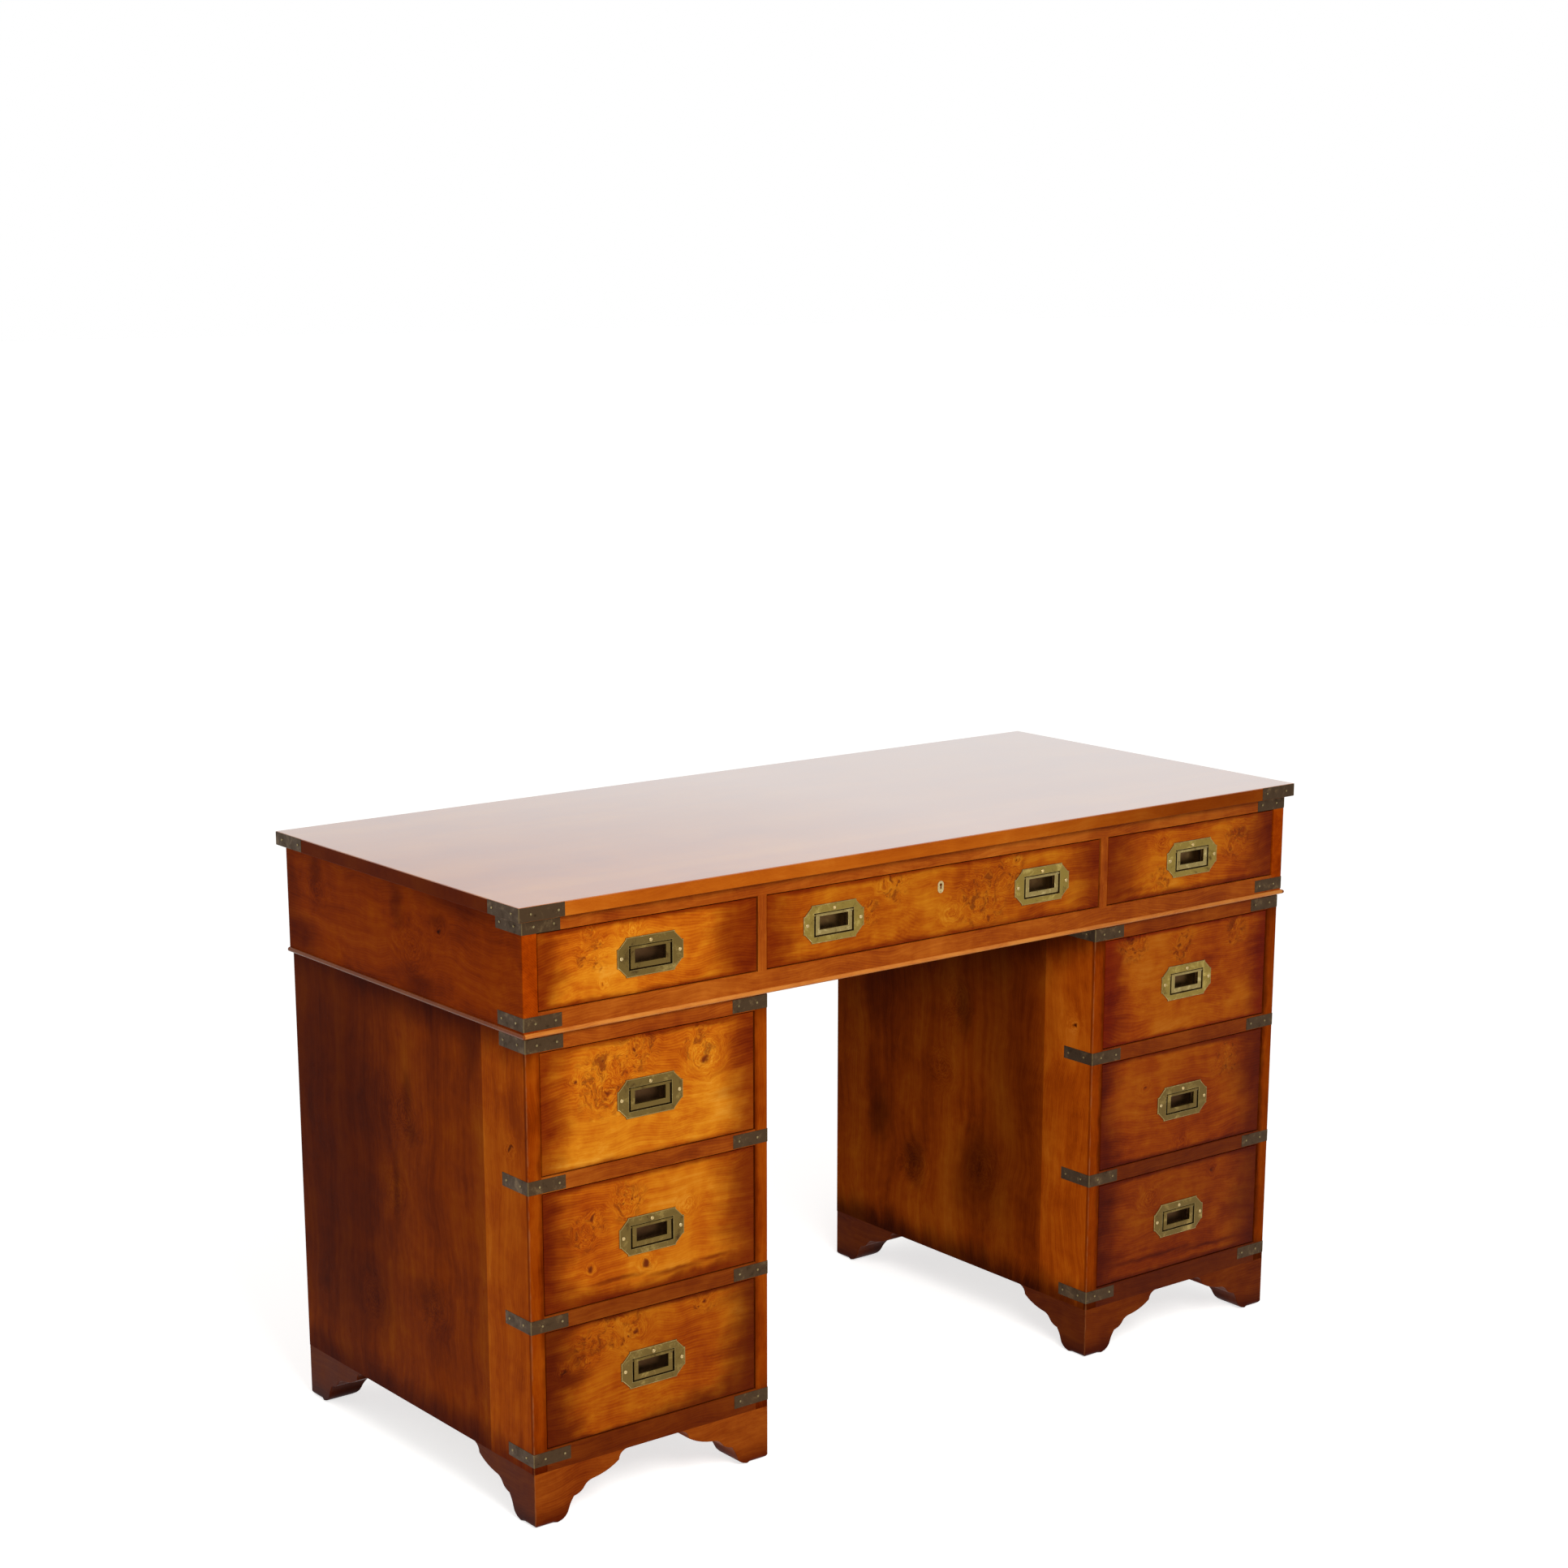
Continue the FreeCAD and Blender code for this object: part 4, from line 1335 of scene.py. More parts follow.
    def build_ring(self) -> bpy.types.Object:
        """Model the ring as it hangs, with its pivots.

        Returns:
            The pattern, with its axis through the origin.
        """
        half, t = self.ring_width / 2, self.ring_thickness / 2
        open_half = half - self.ring_side_bar
        open_low = self.ring_bottom_bar - self.ring_length
        ring = block("ring_pattern", (-half, -t, -self.ring_length), (half, t, t))
        bpy.ops.object.mode_set(mode="EDIT")
        for side in (-1, 1):
            cut_at(0, side * open_half)
        cut_at(2, open_low)
        cut_at(2, -t)
        within = ((-open_half, open_half), None, (open_low, -t))
        front, back = faces_at(1, -t, within), faces_at(1, t, within)
        pick("FACE", lambda f: front(f) or back(f))
        bpy.ops.mesh.bridge_edge_loops()
        # The bar on the axis is round; the others are only eased.
        pick("EDGE", lambda e: along(e, 0) and all(abs(v.co.z * TO_MM - t) < SAME for v in e.verts))
        soften(t * 0.98, 6)
        pick(
            "EDGE",
            lambda e: is_sharp(e)
            and not along(e, 1)
            and all(v.co.z * TO_MM < -t + SAME for v in e.verts),
        )
        soften(self.ring_ease, 3)
        # The eased edges take the rim brass, rubbed bright and partly a painted highlight.
        mark_selected()
        bpy.ops.object.mode_set(mode="OBJECT")
        reach = self.pivot_reach
        pins = rod(self.pivot_radius, 2 * reach, 16, turn=(0, math.pi / 2, 0))
        bpy.ops.object.mode_set(mode="EDIT")
        pick(
            "EDGE",
            lambda e: is_sharp(e) and all(abs(abs(v.co.x) * TO_MM - reach) < SAME for v in e.verts),
        )
        soften(self.pivot_ease, 2)
        bpy.ops.object.mode_set(mode="OBJECT")
        return join([ring, pins], "ring_pattern")

    def build_screws(self) -> bpy.types.Object:
        """Model the three domed, slotted screw heads on the plate's face.

        Returns:
            The pattern, the three heads in one.
        """
        heads = []
        top, strip = self.head_height, self.slot_half_width
        for x, z in self.head_places:
            head = rod(self.head_radius, top, 24, (0, 0, top / 2))
            bpy.ops.object.mode_set(mode="EDIT")
            pick("EDGE", sharp_edges_at(2, top))
            soften(self.head_round, 3)
            pick("FACE", faces_at(2, top))
            for side in (-1, 1):
                bpy.ops.mesh.bisect(plane_co=(side * strip * MM, 0, 0), plane_no=(1, 0, 0))
                pick("FACE", faces_at(2, top))
            pick("FACE", faces_at(2, top, ((-strip, strip), None, None)))
            push((0, 0, -self.slot_depth))
            bpy.ops.object.mode_set(mode="OBJECT")
            # Each screw stopped at its own angle.
            turn = Matrix.Rotation(0.4 + 1.1 * len(heads), 4, "Z")
            stand = Matrix.Rotation(math.pi / 2, 4, "X")
            lift = Matrix.Translation((x * MM, -self.thickness * MM, z * MM))
            head.data.transform(lift @ stand @ turn)
            heads.append(head)
        return join(heads, "screw_pattern")

    def place(self, bail: str, to: HandlePlace, finishes: dict[str, bpy.types.Material]) -> None:
        """Copy the handle to a drawer.

        Args:
            bail: The name of the ring's body, which is its node's too.
            to: Where it goes.
            finishes: The materials by name.
        """
        plate_finish, ring_finish = ("used", "rim") if to.used else ("plate", "plate")
        body, part = f"{to.drawer}_drawer", bail.removesuffix("_bail")
        node = f"{body}_handle"
        # The frame's ring hangs where this one will, and the plate's back is on the drawer's face.
        (left, _, _), (right, _, top) = box_of(bail)
        (_, face, _), _ = box_of(f"{body}_front")
        half_ring = self.ring_thickness / 2
        middle = ((left + right) / 2, face, top - half_ring - self.axis_height)
        plate = copy_to(self.plate_pattern, f"{part}_handle_plate", middle)
        finish(plate, finishes[plate_finish], finishes["rim"])
        screws = copy_to(self.screw_pattern, f"{part}_handle_screws", middle)
        finish(screws, finishes["head"])
        for piece in (plate, screws):
            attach(piece, body)
            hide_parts(node)
        axis = Vector((0, half_ring - self.thickness, self.axis_height))
        ring = copy_to(self.ring_pattern, f"{part}_handle_ring", Vector(middle) + axis)
        finish(ring, finishes[ring_finish], finishes["rim"])
        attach(ring, bail)
        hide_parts(bail)
        log.info("handle of %s", part)

    def clear(self) -> None:
        """Take the patterns away."""
        for pattern in (self.plate_pattern, self.ring_pattern, self.screw_pattern):
            bpy.data.objects.remove(pattern)


# ---- Top ----
@dataclass
class DeskTop:
    """The thin slab of the top, with its edges eased and its corners let in for the straps."""

    low: Point = TOP_LOW
    high: Point = TOP_HIGH
    top_round: float = 2.0
    bottom_round: float = 3.0
    corner_round: float = 1.0

    def build(
        self,
        straps: Sequence[bpy.types.Object],
        edge: bpy.types.Material,
        polish: bpy.types.Material,
    ) -> None:
        """Model the slab.

        Args:
            straps: The four straps that it is let in for.
            edge: The finish of its edges.
            polish: The finish of its upper face.
        """
        slab = block("desk_top", self.low, self.high)
        bottom, top = self.low[2], self.high[2]
        bpy.ops.object.mode_set(mode="EDIT")
        pick("EDGE", lambda e: along(e, 2))
        soften(self.corner_round, 3)
        pick("EDGE", sharp_edges_at(2, top))
        soften(self.top_round, 4)
        pick("EDGE", sharp_edges_at(2, bottom))
        soften(self.bottom_round, 4)
        pick("FACE", lambda f: f.calc_center_median().z * TO_MM > top - self.top_round / 2)
        mark_selected()
        bpy.ops.object.mode_set(mode="OBJECT")
        for strap in straps:
            carve(slab, strap)
        finish(slab, edge, polish)
        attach(slab, "desk_frame")
        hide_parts("top_slab")
        log.info("top")


# ---- Straps and nails ----
@dataclass
class CornerStraps:
    """Brass straps bent round the upright corners, with two nails in each wing."""

    thickness: float = 1.6
    proud: float = 0.4
    height: float = 17.0
    corner_round: float = 1.0
    edge_ease: float = 0.22
    slab_wings: tuple[float, float] = (63.0, 66.0)
    case_wings: tuple[float, float] = (53.0, 55.0)
    nail_from_corner: float = 16.0
    nail_from_end: float = 9.0
    nail_radius: float = 1.6
    nail_height: float = 0.6
    nail_round: float = 0.5
    slab_corner: tuple[float, float] = TOP_HIGH[:2]
    slab_bottom: float = TOP_LOW[2] + 0.5
    frieze_corner: tuple[float, float] = CASE_HIGH[:2]
    frieze_bottoms: tuple[tuple[str, float], ...] = (("top", 735.0), ("foot", 620.0))
    pedestal_spans: tuple[float, float] = (PEDESTAL_OUTER, PEDESTAL_INNER)
    pedestal_front: float = PEDESTAL_FRONT
    pedestal_bottoms: tuple[tuple[str, float], ...] = (
        ("lowest", 79.0), ("low", 248.0), ("high", 421.0), ("highest", 593.0),
    )

    def build(self, finishes: dict[str, bpy.types.Material]) -> list[bpy.types.Object]:
        """Model one strap of each size and copy them to their corners.

        Args:
            finishes: The materials by name.

        Returns:
            The straps of the top.
        """
        nail = self.build_nail()
        on_top = []
        for wings, node, corners in (
            (self.slab_wings, "slab_corner_straps", self._slab_corners()),
            (self.case_wings, "case_corner_straps", self._case_corners()),
        ):
            pattern = self.build_strap(wings)
            nails = self.build_nails(nail, wings)
            for name, place, into_x, into_y in corners:
                at_corner = Matrix.Translation([p * MM for p in place])
                matrix = at_corner @ Matrix.Diagonal((into_x, into_y, 1, 1))
                strap = copy_to(pattern, name, matrix)
                finish(strap, finishes["strap"], finishes["bend"])
                heads = copy_to(nails, name + "_nails", matrix)
                finish(heads, finishes["nail"])
                if node == "slab_corner_straps":
                    on_top.append(strap)
                for piece, stands_for in ((strap, node), (heads, "strap_nails")):
                    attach(piece, "desk_frame")
                    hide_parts(stands_for)
                log.info("%s", name)
            bpy.data.objects.remove(pattern)
            bpy.data.objects.remove(nails)
        bpy.data.objects.remove(nail)
        return on_top

    def _slab_corners(self) -> Iterable[tuple[str, Point, int, int]]:
        """List the straps on the top.

        Returns:
            Each one's name, its corner in mm, and the way into the wood along X and Y.
        """
        x, y = self.slab_corner
        for side, name_x in ((-1, "left"), (1, "right")):
            for end, name_y in ((-1, "front"), (1, "back")):
                place = (side * x, end * y, self.slab_bottom)
                yield f"top_strap_{name_y}_{name_x}", place, -side, -end

    def _case_corners(self) -> Iterable[tuple[str, Point, int, int]]:
        """List the straps on the frieze case and the pedestals.

        Returns:
            Each one's name, its corner in mm, and the way into the wood along X and Y.
        """
        x, y = self.frieze_corner
        outer, inner = self.pedestal_spans
        front = self.pedestal_front
        for side, name in ((-1, "left"), (1, "right")):
            for level, bottom in self.frieze_bottoms:
                yield f"{name}_frieze_{level}_strap", (side * x, -y, bottom), -side, 1
            for level, bottom in self.pedestal_bottoms:
                strap = f"{name}_pedestal_{level}"
                yield f"{strap}_outer_strap", (side * outer, front, bottom), -side, 1
                yield f"{strap}_inner_strap", (side * inner, front, bottom), side, 1

    def build_strap(self, wings: tuple[float, float]) -> bpy.types.Object:
        """Model a strap round a corner at the origin, its wings along X and Y.

        Args:
            wings: How far its wings reach along X and Y, in mm.

        Returns:
            The pattern.
        """
        outer, inner = -self.proud, self.thickness - self.proud
        along_x, along_y = wings
        strap = block("strap_pattern", (outer, outer, 0), (along_x, inner, self.height))
        bpy.ops.object.mode_set(mode="EDIT")
        cut_at(0, inner)
        pick("FACE", faces_at(1, inner, ((outer, inner), None, None)))
        push((0, along_y - inner, 0))

        def from_outside(vertex: bmesh.types.BMVert) -> tuple[float, float]:
            """How far a vertex is from each of the strap's two outer faces."""
            return abs(vertex.co.x * TO_MM - outer), abs(vertex.co.y * TO_MM - outer)

        pick("EDGE", lambda e: along(e, 2) and all(max(from_outside(v)) < SAME for v in e.verts))
        soften(self.corner_round, 4)
        # The bend is rubbed pale, and painted pale also as a highlight on the corner.
        mark_selected()
        # The cut edges of the sheet are filed, so that they catch the light.
        pick("EDGE", lambda e: is_sharp(e) and all(min(from_outside(v)) < 0.3 for v in e.verts))
        soften(self.edge_ease, 2)
        bpy.ops.object.mode_set(mode="OBJECT")
        return strap

    def build_nail(self) -> bpy.types.Object:
        """Model one domed nail head on a wall at the origin, facing -Y.

        Returns:
            The pattern.
        """
        out = self.nail_height
        nail = rod(self.nail_radius, out, 12, (0, -out / 2, 0), (math.pi / 2, 0, 0))
        bpy.ops.object.mode_set(mode="EDIT")
        pick("EDGE", sharp_edges_at(1, -out))
        soften(self.nail_round, 2)
        bpy.ops.object.mode_set(mode="OBJECT")
        return nail

    def build_nails(self, nail: bpy.types.Object, wings: tuple[float, float]) -> bpy.types.Object:
        """Set four copies of a nail in a strap's two wings.

        Args:
            nail: The pattern of a nail head.
            wings: How far the wings reach, in mm.

        Returns:
            The pattern, the four heads in one.
        """
        middle = self.height / 2
        heads = []
        for wing, turned in zip(wings, (False, True)):
            for reach in (self.nail_from_corner, wing - self.nail_from_end):
                place = (-self.proud, reach, middle) if turned else (reach, -self.proud, middle)
                matrix = Matrix.Translation([p * MM for p in place])
                if turned:
                    matrix = matrix @ Matrix.Rotation(-math.pi / 2, 4, "Z")
                heads.append(copy_to(nail, "head", matrix))
        return join(heads, "nails_pattern")


# ---- Feet ----
@dataclass
class BracketFoot:
    """A foot at each corner of a pedestal: two mitred scrolled brackets and a corner block.

    The scroll's points are shares of the foot's length and height, each arc as its start, a point
    on it and its end.
    """

    length: float = 137.0
    height: float = PEDESTAL_BOTTOM
    thickness: float = 18.0
    block_width: float = 26.0
    block_lift: float = 34.0
    block_chamfer: float = 9.0
    block_ease: float = 0.8
    ease: float = 1.3
    sole_round: float = 6.0
    arc_steps: int = 5
    scroll: tuple[tuple[tuple[float, float], ...], ...] = (
        ((0.20, 0.0), (0.305, 0.05), (0.357, 0.19)),
        ((0.357, 0.19), (0.378, 0.29), (0.415, 0.40)),
        ((0.415, 0.40), (0.485, 0.445), (0.53, 0.53)),
        ((0.53, 0.53), (0.575, 0.60), (0.64, 0.63)),
        ((0.64, 0.63), (0.78, 0.70), (0.90, 0.82)),
        ((0.90, 0.82), (0.93, 0.94), (1.0, 1.0)),
    )
    pedestal_spans: tuple[tuple[str, float], ...] = (
        ("outer", PEDESTAL_OUTER), ("inner", PEDESTAL_INNER),
    )
    pedestal_ends: tuple[tuple[str, float], ...] = (
        ("front", PEDESTAL_FRONT), ("back", PEDESTAL_BACK),
    )

    def scroll_points(self) -> list[tuple[float, float]]:
        """Work out the scroll from heel to tip.

        Returns:
            Its points, in mm along the foot and up from the floor.
        """
        points = [(self.scroll[0][0][0] * self.length, 0.0)]
        for start, via, end in self.scroll:
            for step in range(1, self.arc_steps + 1):
                t = step / self.arc_steps
                # The curve with this middle handle passes through the point between its ends.
                shares = [
                    (1 - t) ** 2 * a + 2 * t * (1 - t) * (2 * b - (a + c) / 2) + t**2 * c
                    for a, b, c in zip(start, via, end)
                ]
                points.append((shares[0] * self.length, shares[1] * self.height))
        return points

    def build(self, dress: Callable[[str, str], bpy.types.Material]) -> None:
        """Model one foot and copy it to the eight corners.

        Args:
            dress: Gives the material for a side of the desk and a kind of piece.
        """
        bracket = self.build_bracket()
        block_pattern = self.build_block()
        turned = Matrix(((0, 1, 0, 0), (1, 0, 0, 0), (0, 0, 1, 0), (0, 0, 0, 1)))
        for side, hand in (("left", -1), ("right", 1)):
            for span, x in self.pedestal_spans:
                for end, y in self.pedestal_ends:
                    into_x = -hand if span == "outer" else hand
                    into_y = 1 if y < 0 else -1
                    place = Matrix.Translation((hand * x * MM, y * MM, 0))
                    corner = place @ Matrix.Diagonal((into_x, into_y, 1, 1))
                    name = f"{side}_{end}_{span}_foot"
                    for kind, pattern, matrix in (
                        (f"{end}_bracket", bracket, corner),
                        ("side_bracket", bracket, corner @ turned),
                        ("corner_block", block_pattern, corner),
                    ):
                        piece = copy_to(pattern, f"{name}_{kind}", matrix)
                        finish(piece, dress(side, kind))
                        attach(piece, "desk_frame")
                        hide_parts(f"{side}_pedestal_feet")
                    log.info("%s", name)
        bpy.data.objects.remove(bracket)
        bpy.data.objects.remove(block_pattern)

    def build_bracket(self) -> bpy.types.Object:
        """Model the bracket along X, its corner at the origin and its outside facing -Y.

        Both brackets are scrolled in one piece, so that their corner is rounded over, and the one
        along Y is then sawn off at the mitre.

        Returns:
            The pattern.
        """
        t, top = self.thickness, self.height
        foot = block("bracket_pattern", (0, 0, 0), (t, t, top))
        bpy.ops.object.mode_set(mode="EDIT")
        for axis in (0, 1):
            self._scroll_leg(axis)
        bpy.ops.mesh.select_all(action="SELECT")
        bpy.ops.mesh.remove_doubles(threshold=1e-6)
        # Years of sliding have rounded the sole.
        pick("EDGE", sharp_edges_at(2, 0))
        soften(self.sole_round, 4)

        def is_outside(edge: bmesh.types.BMEdge) -> bool:
            """Whether an edge is on one of the two outer faces.

            Args:
                edge: The edge.

            Returns:
                True if it is, and isn't along their top.
            """
            ends = [v.co * TO_MM for v in edge.verts]
            on_face = any(all(abs(end[axis]) < SAME for end in ends) for axis in (1, 0))
            return on_face and not all(end.z > top - SAME for end in ends)

        pick("EDGE", lambda e: is_sharp(e) and is_outside(e))
        soften(self.ease, 3)
        bpy.ops.mesh.select_all(action="SELECT")
        mitre = (1, -1, 0)
        bpy.ops.mesh.bisect(plane_co=(0, 0, 0), plane_no=mitre, clear_inner=True, use_fill=True)
        bpy.ops.object.mode_set(mode="OBJECT")
        return foot

    def _scroll_leg(self, axis: int) -> None:
        """Draw the corner out along an axis, its underside following the scroll.

        Args:
            axis: 0 or 1.
        """
        reached, under = self.thickness, 0.0
        for out, up in self.scroll_points():
            pick("FACE", faces_at(axis, reached))
            step = [0.0, 0.0, 0.0]
            step[axis] = out - reached
            push(step)
            if up > under:
                pick(
                    "VERT",
                    lambda v: abs(v.co[axis] * TO_MM - out) < SAME
                    and abs(v.co.z * TO_MM - under) < SAME,
                )
                bpy.ops.transform.translate(value=(0, 0, (up - under) * MM))
            reached, under = out, up

    def build_block(self) -> bpy.types.Object:
        """Model the block glued behind the brackets, its free corner sawn off.

        Returns:
            The pattern.
        """
        near, far = self.thickness, self.thickness + self.block_width
        glued = block("block_pattern", (near, near, self.block_lift), (far, far, self.height))
        bpy.ops.object.mode_set(mode="EDIT")
        free = far - SAME
        pick(
            "EDGE",
            lambda e: along(e, 2) and all(min(v.co.x, v.co.y) * TO_MM > free for v in e.verts),
        )
        soften(self.block_chamfer, 1)
        foot = self.block_lift + SAME
        pick("EDGE", lambda e: is_sharp(e) and all(v.co.z * TO_MM < foot for v in e.verts))
        soften(self.block_ease, 2)
        bpy.ops.object.mode_set(mode="OBJECT")
        return glued


# ---- Escutcheon ----
@dataclass
class Escutcheon:
    """The small brass plate round the keyhole, with round ends."""

    width: float = 10.0
    height: float = 16.0
    thickness: float = 1.2
    rim_round: float = 0.35
    middle: Point = (0.0, -275.5, 706.75)
    key_radius: float = 2.0
    key_height: float = 2.75
    slot_width: float = 2.2
    slot_length: float = 5.5

    def build(self, material: bpy.types.Material) -> None:
        """Model the escutcheon and cut its keyhole.

        Args:
            material: Its finish.
        """
        x, y, z = self.middle
        plate = block(
            "keyhole_escutcheon_plate",
            (x - self.width / 2, y, z - self.height / 2),
            (x + self.width / 2, y + self.thickness, z + self.height / 2),
        )
        bpy.ops.object.mode_set(mode="EDIT")
        pick("EDGE", lambda e: along(e, 1))
        soften(self.width / 2 * 0.995, 10)
        pick("EDGE", sharp_edges_at(1, y))
        soften(self.rim_round, 2)
        bpy.ops.object.mode_set(mode="OBJECT")
        slot = block(
            "keyhole_cutter",
            (x - self.slot_width / 2, y - 2, z + self.key_height - self.slot_length),
            (x + self.slot_width / 2, y + 4, z + self.key_height),
        )
        bore = rod(self.key_radius, 8, 24, (x, y, z + self.key_height), (math.pi / 2, 0, 0))
        for cutter in (bore, slot):
            carve(plate, cutter)
            bpy.data.objects.remove(cutter)
        finish(plate, material)
        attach(plate, "frieze_centre_drawer")
        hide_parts("keyhole_escutcheon")
        log.info("escutcheon")


# ---- Studio ----
@dataclass
class Studio:
    """A plain pale floor, a soft lamp and the camera.

    Places are in metres, the sensor is in mm, and the shift and the focal length are in widths of
    the picture.
    """

    azimuth: float = -37.99
    elevation: float = 14.05
    distance: float = 4.021
    across: float = -0.030
    up: float = 0.149
    middle: Point = (0, 0, 0.385)
    sensor: float = 36.0
    focal_widths: float = 3615 / 1932
    shift_y: float = 0.121
    far: float = 200.0
    sky: float = 0.42
    floor_size: float = 80.0
    floor_height: float = -0.0005
    floor_colour: str = "#e6e4e0"
    floor_glow: float = 0.7
    lamp_place: Point = (-0.75, -1.95, 1.85)
    lamp_target: Point = (-0.15, 0, 0.45)
    lamp_size: float = 1.1
    lamp_power: float = 40.0

    def build(self) -> None:
        """Set up the floor, the world, the lamp and the camera."""
        bpy.context.scene.view_settings.view_transform = "Standard"
        self.build_floor()
        self.build_world()
        self.build_lamp()
        self.build_camera()

    def build_camera(self) -> None:
        """Place the camera."""
        az, el = math.radians(self.azimuth), math.radians(self.elevation)
        back = Vector((math.sin(az) * math.cos(el), -math.cos(az) * math.cos(el), math.sin(el)))
        right = (-back).cross(Vector((0, 0, 1))).normalized()
        upward = right.cross(-back)
        data = bpy.data.cameras.new("camera")
        data.sensor_width, data.shift_y, data.clip_end = self.sensor, self.shift_y, self.far
        data.lens = self.focal_widths * self.sensor
        camera = bpy.data.objects.new("camera", data)
        middle = Vector(self.middle)
        camera.location = middle + back * self.distance + right * self.across + upward * self.up
        camera.rotation_euler = (math.pi / 2 - el, 0, az)
        bpy.context.scene.collection.objects.link(camera)
        bpy.context.scene.camera = camera

    def build_lamp(self) -> None:
        """Hang one soft square lamp, aimed at the desk."""
        data = bpy.data.lights.new("key_lamp", "AREA")
        data.size, data.energy = self.lamp_size, self.lamp_power
        lamp = bpy.data.objects.new("key_lamp", data)
        lamp.location = self.lamp_place
        aim = Vector(self.lamp_target) - Vector(self.lamp_place)
        lamp.rotation_euler = aim.to_track_quat("-Z", "Y").to_euler()
        lamp.visible_camera = False
        bpy.context.scene.collection.objects.link(lamp)

    @staticmethod
    def seen(tree: bpy.types.NodeTree) -> Socket:
        """Tell what the camera sees, directly or by a reflection, from the light elsewhere.

        Args:
            tree: The node tree that gets the nodes.

        Returns:
            One where the camera sees, and zero elsewhere.
        """
        seen: Feed = 0.0
        for kind in ("Camera", "Glossy", "Transmission"):
            ray = add_node(tree, "LightPath", out=f"Is {kind} Ray")
            seen = add_node(tree, "Math", {0: seen, 1: ray}, operation="MAXIMUM")
        return seen

    def build_world(self) -> None:
        """A grey sky that shows as plain white."""
        world = bpy.data.worlds.new("studio")
        bpy.context.scene.world = world
        world.use_nodes = True
        tree = world.node_tree
        background = tree.nodes["Background"]
        background.inputs["Color"].default_value = (1, 1, 1, 1)
        levels = {0: self.seen(tree), 1: 0.0, 2: 1.0, 3: self.sky, 4: 1.0}
        strength = add_node(tree, "MapRange", levels)
        tree.links.new(strength, background.inputs["Strength"])

    def build_floor(self) -> None:
        """A wide pale floor that keeps the desk's shadow."""
        deselect()
        height = self.floor_height
        bpy.ops.mesh.primitive_plane_add(size=self.floor_size, location=(0, 0, height))
        floor = bpy.context.object
        floor.name = "floor"
        material = bpy.data.materials.new("Pale painted floor")
        material.use_nodes = True
        tree = material.node_tree
        shader = tree.nodes["Principled BSDF"]
        shader.inputs["Base Color"].default_value = linear(self.floor_colour)
        shader.inputs["Roughness"].default_value = 0.9
        shader.inputs["Emission Color"].default_value = (1, 1, 1, 1)
        levels = {0: self.seen(tree), 1: self.floor_glow}
        glow = add_node(tree, "Math", levels, operation="MULTIPLY")
        tree.links.new(glow, shader.inputs["Emission Strength"])
        floor.data.materials.append(material)


# ---- The desk's boards ----
@dataclass(frozen=True)
class Front:
    """A drawer front: how far stain reaches in from its ends, and its figure.

    Attributes:
        ends: Width of the stain at the left end, right end, bottom and top, in mm.
        figure: Knots and pips, as x, z, reach, lift and core.
        burrs: Patches of burr, as x, z and reach.
        shades: Soft dark places, as x, z and reach along x and z.
        deep: What the colours are multiplied by where stain is full.
        wash: What all the front's colours are multiplied by: its own tone, and painted shade
            on the lower and the right-hand fronts.
        shift: How much paler the front is than its fellows: its own tone, and painted light
            and shade, paler high up and on the left.
        seed: Which part of the log it comes from.
    """

    ends: tuple[float, float, float, float]
    figure: tuple[tuple[float, ...], ...] = ()
    burrs: tuple[tuple[float, ...], ...] = ()
    shades: tuple[tuple[float, ...], ...] = ()
    deep: str = "#a57a66"
    wash: str = "#ffffff"
    shift: float = 0.0
    seed: int = 0

    def cut(self, name: str) -> Cut:
        """Say how the front's board is cut.

        Args:
            name: The drawer.

        Returns:
            Its figure, stain and colours.
        """
        low, high = box_of(f"{name}_drawer_front")
        y = low[1]
        left, right, bottom, top = self.ends
        return Cut(
            Run.ALONG_X,
            self.seed,
            knots=tuple(Knot((x, y, z), *sizes) for x, z, *sizes in self.figure),
            burrs=tuple(((x, y, z), reach) for x, z, reach in self.burrs),
            shades=tuple(Shade((x, y, z), (rx, 60.0, rz)) for x, z, rx, rz in self.shades),
            stain=Stain(low, high, (left, 0, bottom), (right, 0, top)),
            deep=self.deep,
            wash=self.wash,
            shift=self.shift,
        )

    def dress(self, name: str) -> None:
        """Finish the front and the box behind it."""
        paint(f"{name}_drawer_front", YEW_FRONT.material(name + " front", self.cut(name)))
        paint(f"{name}_drawer_box", OAK.material(name + " box", Cut(Run.ALONG_Y, self.seed)))
